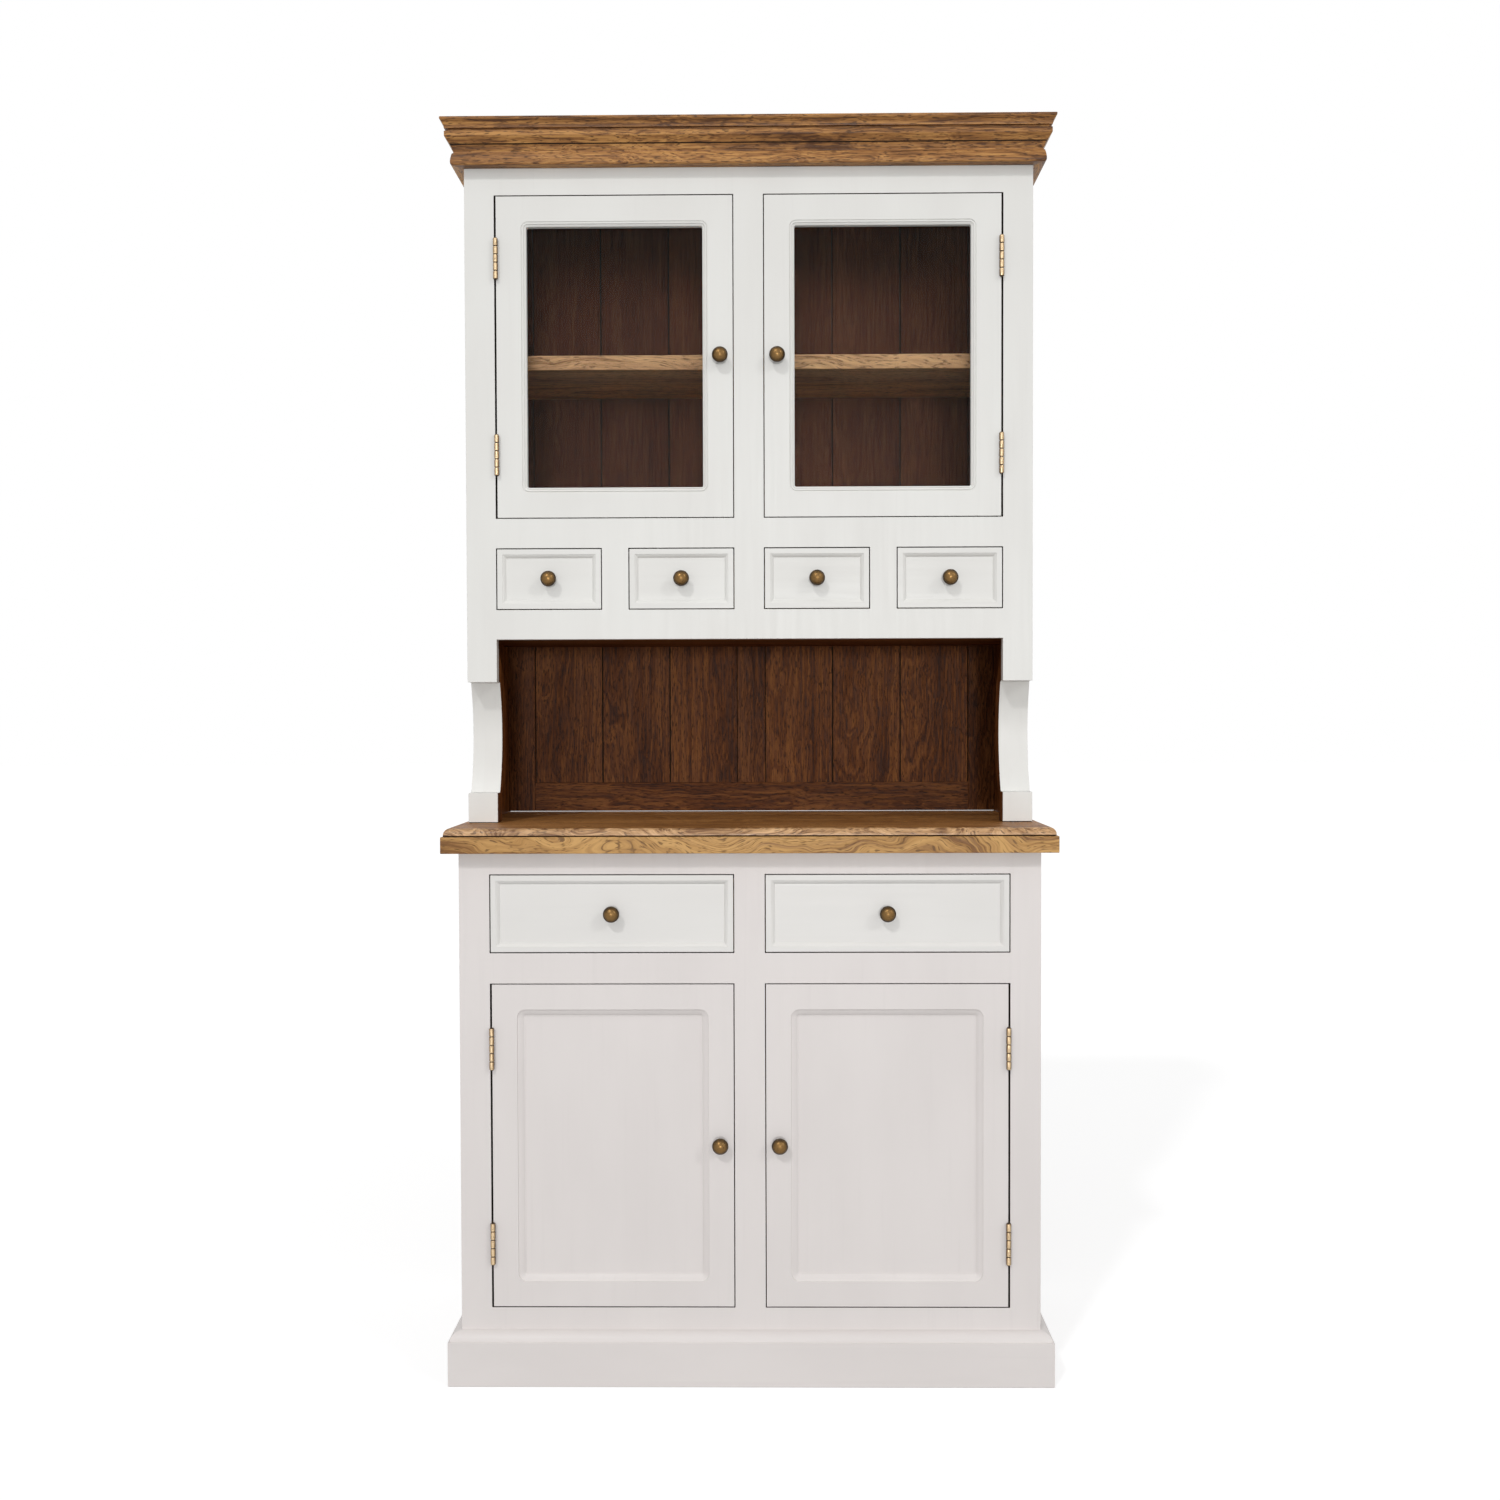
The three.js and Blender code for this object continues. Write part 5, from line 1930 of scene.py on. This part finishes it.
@dataclass(frozen=True)
class DrawerPattern:
    """One size of drawer: a moulded front, a dovetailed box and a knob."""

    tails: int
    finish: Finish
    rim: float = mm(9)
    mould: float = mm(8)
    sink: float = mm(5)
    side: float = mm(12)
    bottom: float = mm(6)
    bottom_lift: float = mm(8)
    ease: float = mm(0.8)
    slack: float = mm(0.12)
    tail_span: tuple[float, float] = (0.2, 0.8)
    flare: float = 0.16
    curve: tuple[Spot, ...] = (
        (0.04, 0.17), (0.12, 0.20), (0.26, 0.30), (0.42, 0.48), (0.58, 0.71), (0.71, 0.93),
        (0.76, 1.0), (0.88, 1.02), (1.0, 0.96))

    def build_front(self, box: Box) -> Piece:
        """Cuts the front from a blank and sinks its field with a moulded edge.

        Args:
            box: the front's node.

        Returns:
            The front, dressed.
        """
        piece = cut_board("drawer_front_pattern", box.low, box.high, self.ease)
        with shaping(piece):
            pick_faces(piece, lambda c, n: n.y < -SQUARE and c.y < box.low.y + WELD)
            bpy.ops.mesh.inset(thickness=self.rim - self.ease)
            sink_steps(self.curve, self.mould, -self.sink)
        smooth(piece, angle=24)
        lay_grain(piece, Staves(Axis.X, Axis.Z))
        shelf.dress(piece, self.finish)
        return piece

    def build_box(self, box: Box) -> Piece:
        """Joins four sides with through dovetails and lets the bottom in.

        Args:
            box: the drawer box's node.

        Returns:
            The drawer box, dressed.
        """
        tails, sockets = self._tails(box, 0.0), self._tails(box, self.slack)
        left = outline_plate("side", [Vector((box.low.x, y, z)) for y, z in tails],
                             Vector((self.side, 0, 0)))
        right = copy_piece(left, "side", Vector((box.size.x - self.side, 0, 0)))
        ends, spare = [], mm(1)
        for y0, y1 in ((box.low.y, box.low.y + self.side), (box.high.y - self.side, box.high.y)):
            end = cut_board(
                "end", (box.low.x, y0, box.low.z), (box.high.x, y1, box.high.z), ease=0)
            for x, inner, way in ((box.low.x, box.low.x + self.side, 1),
                                  (box.high.x - self.side, box.high.x - self.side, -1)):
                cutter = outline_plate("cutter", [Vector((x - spare, y, z)) for y, z in sockets],
                                       Vector((self.side + 2 * spare, 0, 0)))
                trim(cutter, Vector((inner, 0, 0)), Vector((way, 0, 0)))
                carve(end, cutter)
            ends.append(end)
        base, side = box.low.z + self.bottom_lift, self.side
        floor = cut_board("floor", (box.low.x + side, box.low.y + side, base),
                          (box.high.x - side, box.high.y - side, base + self.bottom), ease=0)
        parts = (left, right, *ends, floor)
        runs = [Staves(Axis.Y, Axis.Z)] * 2 + [Staves(Axis.X, Axis.Z)] * 2
        runs.append(Staves(Axis.Y, Axis.X))
        for i, (part, staves) in enumerate(zip(parts, runs)):
            lay_grain(part, staves, f"drawer_{self.tails}_{i}")
        piece = join_pieces("drawer_box_pattern", parts)
        shelf.dress(piece, Finish.DRAWER_WOOD)
        return piece

    def _tails(self, box: Box, loose: float) -> list[Spot]:
        """A side's outline with its tails at both ends.

        Args:
            box: the drawer box's node.
            loose: how much larger than the tails their sockets are.

        Returns:
            The outline's [y, z] points in order.
        """
        y0, y1, z0 = box.low.y, box.high.y, box.low.z
        near, far = y0 + self.side + loose, y1 - self.side - loose
        step, flare = box.size.z / self.tails, self.side * self.flare
        front, rear = [], []
        for i in range(self.tails):
            low = z0 + step * (i + self.tail_span[0]) - loose
            high = z0 + step * (i + self.tail_span[1]) + loose
            front += [(near, low + flare), (y0, low), (y0, high), (near, high - flare)]
            rear += [(far, low + flare), (y1, low), (y1, high), (far, high - flare)]
        return [(near, z0), *front, (near, box.high.z), (far, box.high.z), *rear[::-1], (far, z0)]


@dataclass(frozen=True)
class DrawerSet:
    """Drawers of one size, of which the first is modelled and the others copied."""

    names: tuple[str, ...]
    pattern: DrawerPattern

    def build(self, knob: Piece, knob_box: Box) -> None:
        """Builds and dresses every drawer of the set.

        Args:
            knob: the knob's pattern.
            knob_box: the box that the pattern stands in.
        """
        first = self.names[0]
        front_box = Box.of(f"{first}_front")
        front = self.pattern.build_front(front_box)
        box = self.pattern.build_box(Box.of(f"{first}_box"))
        for name in self.names:
            here = Box.of(f"{name}_front").low - front_box.low
            for source, part, node in ((front, "face", "front"), (box, "carcass", "box")):
                piece = copy_piece(source, f"{name}_{part}", here)
                reshuffle(piece)
                fit(piece, name, f"{name}_{node}")
            fit_knob(knob, knob_box, name)
        scrap(front, box)


def fit_knob(knob: Piece, knob_box: Box, name: str) -> None:
    """Screws a copy of the knob onto a drawer or a door."""
    piece = copy_piece(knob, f"{name}_turned_knob", Box.of(f"{name}_knob").low - knob_box.low)
    fit(piece, name, f"{name}_knob")


# Doors


@dataclass(frozen=True)
class DoorPattern:
    """One kind of door: a frame with a moulded inner edge and a sheet let into it from behind."""

    flat: float
    mould: float
    sink: float
    sheet_depth: float
    finish: Finish
    glazed: bool
    corner: float
    rebate: float
    ease: float = mm(0.6)
    over: float = mm(2)
    bead_gap: float = mm(1.5)
    bead: tuple[Spot, ...] = (
        (0.0, 0.0), (1.0, 0.0), (1.0, 0.4), (0.75, 0.8), (0.45, 1.0), (0.0, 1.0))
    curve: tuple[Spot, ...] = (
        (0.04, 0.30), (0.11, 0.33), (0.26, 0.41), (0.42, 0.52), (0.57, 0.65), (0.70, 0.79),
        (0.80, 0.92), (0.86, 1.04), (0.94, 1.08), (1.0, 1.08))

    @property
    def inset(self) -> float:
        """How far the rebate's edge lies within the frame's outer edge."""
        return self.flat + self.mould - self.rebate

    def build_frame(self, box: Box) -> Piece:
        """Cuts the frame from a blank with a router: the moulded hole, then the rebate behind it.

        Args:
            box: the frame's node.

        Returns:
            The frame, dressed.
        """
        piece = cut_board("door_frame_pattern", box.low, box.high, self.ease)
        carve(piece, self._router(box))
        inset = self.inset
        rebate = cut_board(
            "rebate", (box.low.x + inset, box.low.y + self.sheet_depth, box.low.z + inset),
            (box.high.x - inset, box.high.y + self.over, box.high.z - inset), ease=0)
        carve(piece, rebate)
        smooth(piece, angle=28)
        lay_grain(piece, Staves(Axis.Z, Axis.X))
        shelf.dress(piece, self.finish)
        return piece

    def _router(self, box: Box) -> Piece:
        """The shape that the router takes out, with round corners.

        Args:
            box: the frame's node.

        Returns:
            The shape, which starts in front of the frame and ends behind it.
        """
        clear_selection()
        width, height = box.size.x - 2 * self.flat, box.size.z - 2 * self.flat
        bpy.ops.mesh.primitive_plane_add(
            size=1.0, location=(box.centre.x, box.low.y - self.over, box.centre.z),
            rotation=(-math.pi / 2, 0, 0))
        piece = bpy.context.active_object
        piece.scale = (width, height, 1.0)
        settle(piece)
        with shaping(piece, "VERT"):
            pick_all()
            bpy.ops.mesh.bevel(offset=self.corner, segments=8, affect="VERTICES")
        with shaping(piece):
            pick_all()
            draw_out((0, self.over, 0))
            sink_steps(self.curve, self.mould, self.sink)
            draw_out((0, box.size.y - self.curve[-1][1] * self.sink + self.over, 0))
            face_outwards()
        return piece

    def build_beads(self, box: Box, sheet: Box) -> Piece:
        """Four mitred beads that hold the sheet in its rebate.

        Args:
            box: the frame's node.
            sheet: the node of the pane or the panel.

        Returns:
            The beads as one piece, dressed.
        """
        inset, width = self.inset, self.rebate - self.bead_gap
        depth = box.high.y - sheet.high.y
        half = Vector(((box.size.x / 2 - inset), 0, (box.size.z / 2 - inset)))
        parts = []
        for axis, way in ((0, -1), (0, 1), (2, -1), (2, 1)):
            other = 2 - axis
            out, run = Vector(), Vector()
            out[axis], run[other] = way, 1.0
            edge = box.centre + out * half[axis]
            edge.y = sheet.high.y
            ends = [edge - run * half[other], edge + run * half[other]]
            outline = [ends[0] + Vector((0, d * depth, 0)) - out * (w * width)
                       for w, d in self.bead]
            part = outline_plate("bead", outline, ends[1] - ends[0])
            for end, sign in zip(ends, (-1, 1)):
                trim(part, end, out + run * sign)
            staves = Staves(Axis.X, Axis.Z) if axis else Staves(Axis.Z, Axis.X)
            lay_grain(part, staves, f"bead_{axis}_{way}")
            parts.append(part)
        piece = join_pieces("door_beads_pattern", parts)
        smooth(piece, angle=40)
        shelf.dress(piece, self.finish)
        return piece

    def build_sheet(self, sheet: Box) -> Piece:
        """The pane or the panel.

        Args:
            sheet: its node.

        Returns:
            The sheet, dressed.
        """
        piece = cut_board("door_sheet_pattern", sheet.low, sheet.high, ease=mm(0.3))
        lay_grain(piece, Staves(Axis.Z, Axis.X))
        shelf.dress(piece, Finish.GLASS if self.glazed else self.finish)
        return piece


@dataclass(frozen=True)
class DoorPair:
    """A left and a right door of one kind, with their knobs and hinges."""

    kind: str
    sheet: str
    pattern: DoorPattern

    def build(self, knob: Piece, knob_box: Box, hinge: tuple[Piece, Piece], hinge_box: Box) -> None:
        """Builds and dresses both doors.

        Args:
            knob: the knob's pattern.
            knob_box: the box that the pattern stands in.
            hinge: the two halves of a left hinge.
            hinge_box: the box that they stand in.
        """
        first = f"{self.kind}_left"
        frame_box, sheet_box = Box.of(f"{first}_frame"), Box.of(f"{first}_{self.sheet}")
        patterns = (
            (self.pattern.build_frame(frame_box), "surround", "frame"),
            (self.pattern.build_sheet(sheet_box), "sheet", self.sheet),
            (self.pattern.build_beads(frame_box, sheet_box), "beads", "frame"),
        )
        for side in Side:
            name = f"{self.kind}_{side.name.lower()}"
            here = Box.of(f"{name}_frame").low - frame_box.low
            for source, part, node in patterns:
                piece = copy_piece(source, f"{name}_{part}", here)
                reshuffle(piece)
                fit(piece, name, f"{name}_{node}")
            fit_knob(knob, knob_box, name)
            for end in ("upper", "lower"):
                self._hang(name, side, end, hinge, hinge_box)
        scrap(*(source for source, _, _ in patterns))

    @staticmethod
    def _hang(name: str, side: Side, end: str, hinge: tuple[Piece, Piece], hinge_box: Box) -> None:
        """Fits one hinge: one half to the frame and the other to the door.

        Args:
            name: the door's body.
            side: the side that the door is on.
            end: upper or lower.
            hinge: the two halves of a left hinge.
            hinge_box: the box that they stand in.
        """
        node, flip, start = f"{name}_{end}_hinge", side is Side.RIGHT, hinge_box.low
        if flip:
            start = Vector((-hinge_box.high.x, start.y, start.z))
        shift = Box.of(node).low - start
        for source, half, body in zip(hinge, ("frame_half", "door_half"), ("root", name)):
            fit(copy_piece(source, f"{node}_{half}", shift, flip), body, node)


# Studio


@dataclass(frozen=True)
class Lamp:
    """A far, soft lamp. Its way is that of its light, and its width is in degrees of the sky."""

    name: str
    way: tuple[float, float, float]
    strength: float
    width: float

    def hang(self) -> None:
        """Hangs the lamp."""
        lamp = bpy.data.lights.new(self.name, "SUN")
        lamp.energy, lamp.angle = self.strength, math.radians(self.width)
        thing = bpy.data.objects.new(self.name, lamp)
        bpy.context.scene.collection.objects.link(thing)
        thing.rotation_euler = Vector(self.way).to_track_quat("-Z", "Y").to_euler()


@dataclass(frozen=True)
class Studio:
    """The camera, the lamps, the sky and the floor."""

    lens: float = 37.179
    film: float = 36.0
    stand: tuple[float, float, float] = (0.029385, -2.714596, 1.09983)
    yaw: float = 0.011
    pitch: float = -0.024
    roll: float = -0.003
    sky: float = 0.55
    floor_size: float = 60.0
    floor_drop: float = mm(0.2)
    floor_colour: float = 0.5
    floor_glow: float = 0.66
    lamps: tuple[Lamp, ...] = (
        Lamp("key_lamp", (0.46, 1.0, -1.03), strength=0.72, width=4.0),
        Lamp("fill_lamp", (-1.2, 1.0, -0.9), strength=0.38, width=9.0),
        Lamp("front_lamp", (-0.04, 1.0, -0.03), strength=0.78, width=8.0))

    def build(self) -> None:
        """Sets the whole studio up."""
        bpy.context.scene.view_settings.view_transform = "Standard"
        self._camera()
        self._sky()
        self._floor()
        for lamp in self.lamps:
            lamp.hang()

    def _camera(self) -> None:
        """The camera at the photograph's viewing angle."""
        lens = bpy.data.cameras.new("camera")
        lens.lens, lens.sensor_width = self.lens, self.film
        lens.clip_start, lens.clip_end = 0.05, 100.0
        camera = bpy.data.objects.new("camera", lens)
        bpy.context.scene.collection.objects.link(camera)
        ahead = Vector((-math.sin(self.yaw) * math.cos(self.pitch),
                        math.cos(self.yaw) * math.cos(self.pitch), math.sin(self.pitch)))
        aside = Vector((math.cos(self.yaw), math.sin(self.yaw), 0))
        above = aside.cross(ahead)
        right = math.cos(self.roll) * aside + math.sin(self.roll) * above
        up = -math.sin(self.roll) * aside + math.cos(self.roll) * above
        camera.location = self.stand
        camera.rotation_euler = Matrix((right, up, -ahead)).transposed().to_euler()
        bpy.context.scene.camera = camera

    def _sky(self) -> None:
        """An even sky that the camera, metal and glass see as white."""
        sheet = NodeSheet("studio", sky=True)
        path = sheet.add("LightPath").outputs
        seen = sheet.math("MAXIMUM", path["Is Camera Ray"], path["Is Glossy Ray"])
        seen = sheet.math("MAXIMUM", seen, path["Is Transmission Ray"])
        level = sheet.band(seen, 0.0, 1.0, self.sky, 1.0, soft=False)
        light = sheet.add("Background", {"Strength": level, "Color": (1.0, 1.0, 1.0, 1.0)})
        bpy.context.scene.world = sheet.close(light.outputs[0], "OutputWorld")

    def _floor(self) -> None:
        """A pale floor that keeps the dresser's shadow and shows white beyond it."""
        clear_selection()
        bpy.ops.mesh.primitive_plane_add(size=self.floor_size, location=(0, 0, -self.floor_drop))
        piece = bpy.context.active_object
        piece.name = "studio_floor"
        settle(piece)
        sheet = NodeSheet("floor_paper")
        path = sheet.add("LightPath").outputs
        mirrored = sheet.math("MAXIMUM", path["Is Glossy Ray"], path["Is Transmission Ray"])
        direct = sheet.math("LESS_THAN", path["Diffuse Depth"], 0.5)
        clear = sheet.math("MULTIPLY", mirrored, direct)
        seen = sheet.math("MAXIMUM", path["Is Camera Ray"], clear)
        shader = sheet.add("BsdfPrincipled", {
            "Base Color": (*(self.floor_colour,) * 3, 1.0),
            "Roughness": 0.9,
            "Specular IOR Level": 0.0,
            "Emission Color": (1.0, 1.0, 1.0, 1.0),
            "Emission Strength": sheet.math("MULTIPLY", seen, self.floor_glow),
        })
        piece.data.materials.append(sheet.close(shader.outputs[0]))


def main() -> None:
    """Sets up the studio, then builds and dresses the dresser from the floor up."""
    logging.basicConfig(level=logging.INFO, format="%(message)s")
    Studio().build()
    BaseCabinet().build()
    Worktop().build()
    HutchCase().build()
    HutchBack().build()
    Crown().build()
    knob_box = Box.of("base_door_left_knob")
    knob = KnobPattern().build(knob_box)
    hinge_box = Box.of("base_door_left_upper_hinge")
    hinge = HingePattern().build(hinge_box)
    for half in hinge:
        smooth(half, angle=40)
        shelf.dress(half, Finish.HINGE_BRASS)
    DrawerSet(("wide_drawer_left", "wide_drawer_right"),
              DrawerPattern(tails=4, finish=Finish.DRAWER_PAINT)).build(knob, knob_box)
    DrawerSet(tuple(f"small_drawer_{i}" for i in range(1, 5)),
              DrawerPattern(tails=3, finish=Finish.HUTCH_PAINT)).build(knob, knob_box)
    DoorPair("base_door", "panel", DoorPattern(
        flat=mm(41), mould=mm(12), sink=mm(6.6), sheet_depth=mm(8), finish=Finish.BASE_PAINT,
        glazed=False, corner=mm(14), rebate=mm(6),
    )).build(knob, knob_box, hinge, hinge_box)
    double_bead = (
        (0.033, 0.03), (0.056, 0.27), (0.19, 0.30), (0.222, 0.13), (0.267, 0.06), (0.356, 0.03),
        (0.444, 0.06), (0.50, 0.13), (0.522, 0.43), (0.667, 0.47), (0.70, 0.34), (0.755, 0.30),
        (0.96, 0.48), (1.0, 1.0))
    DoorPair("glazed_door", "glass", DoorPattern(
        flat=mm(42), mould=mm(9), sink=mm(6), sheet_depth=mm(12), finish=Finish.HUTCH_PAINT,
        glazed=True, corner=mm(12), rebate=mm(9), curve=double_bead,
    )).build(knob, knob_box, hinge, hinge_box)
    scrap(knob, *hinge)
    clear_selection()


if __name__ == "__main__":
    main()
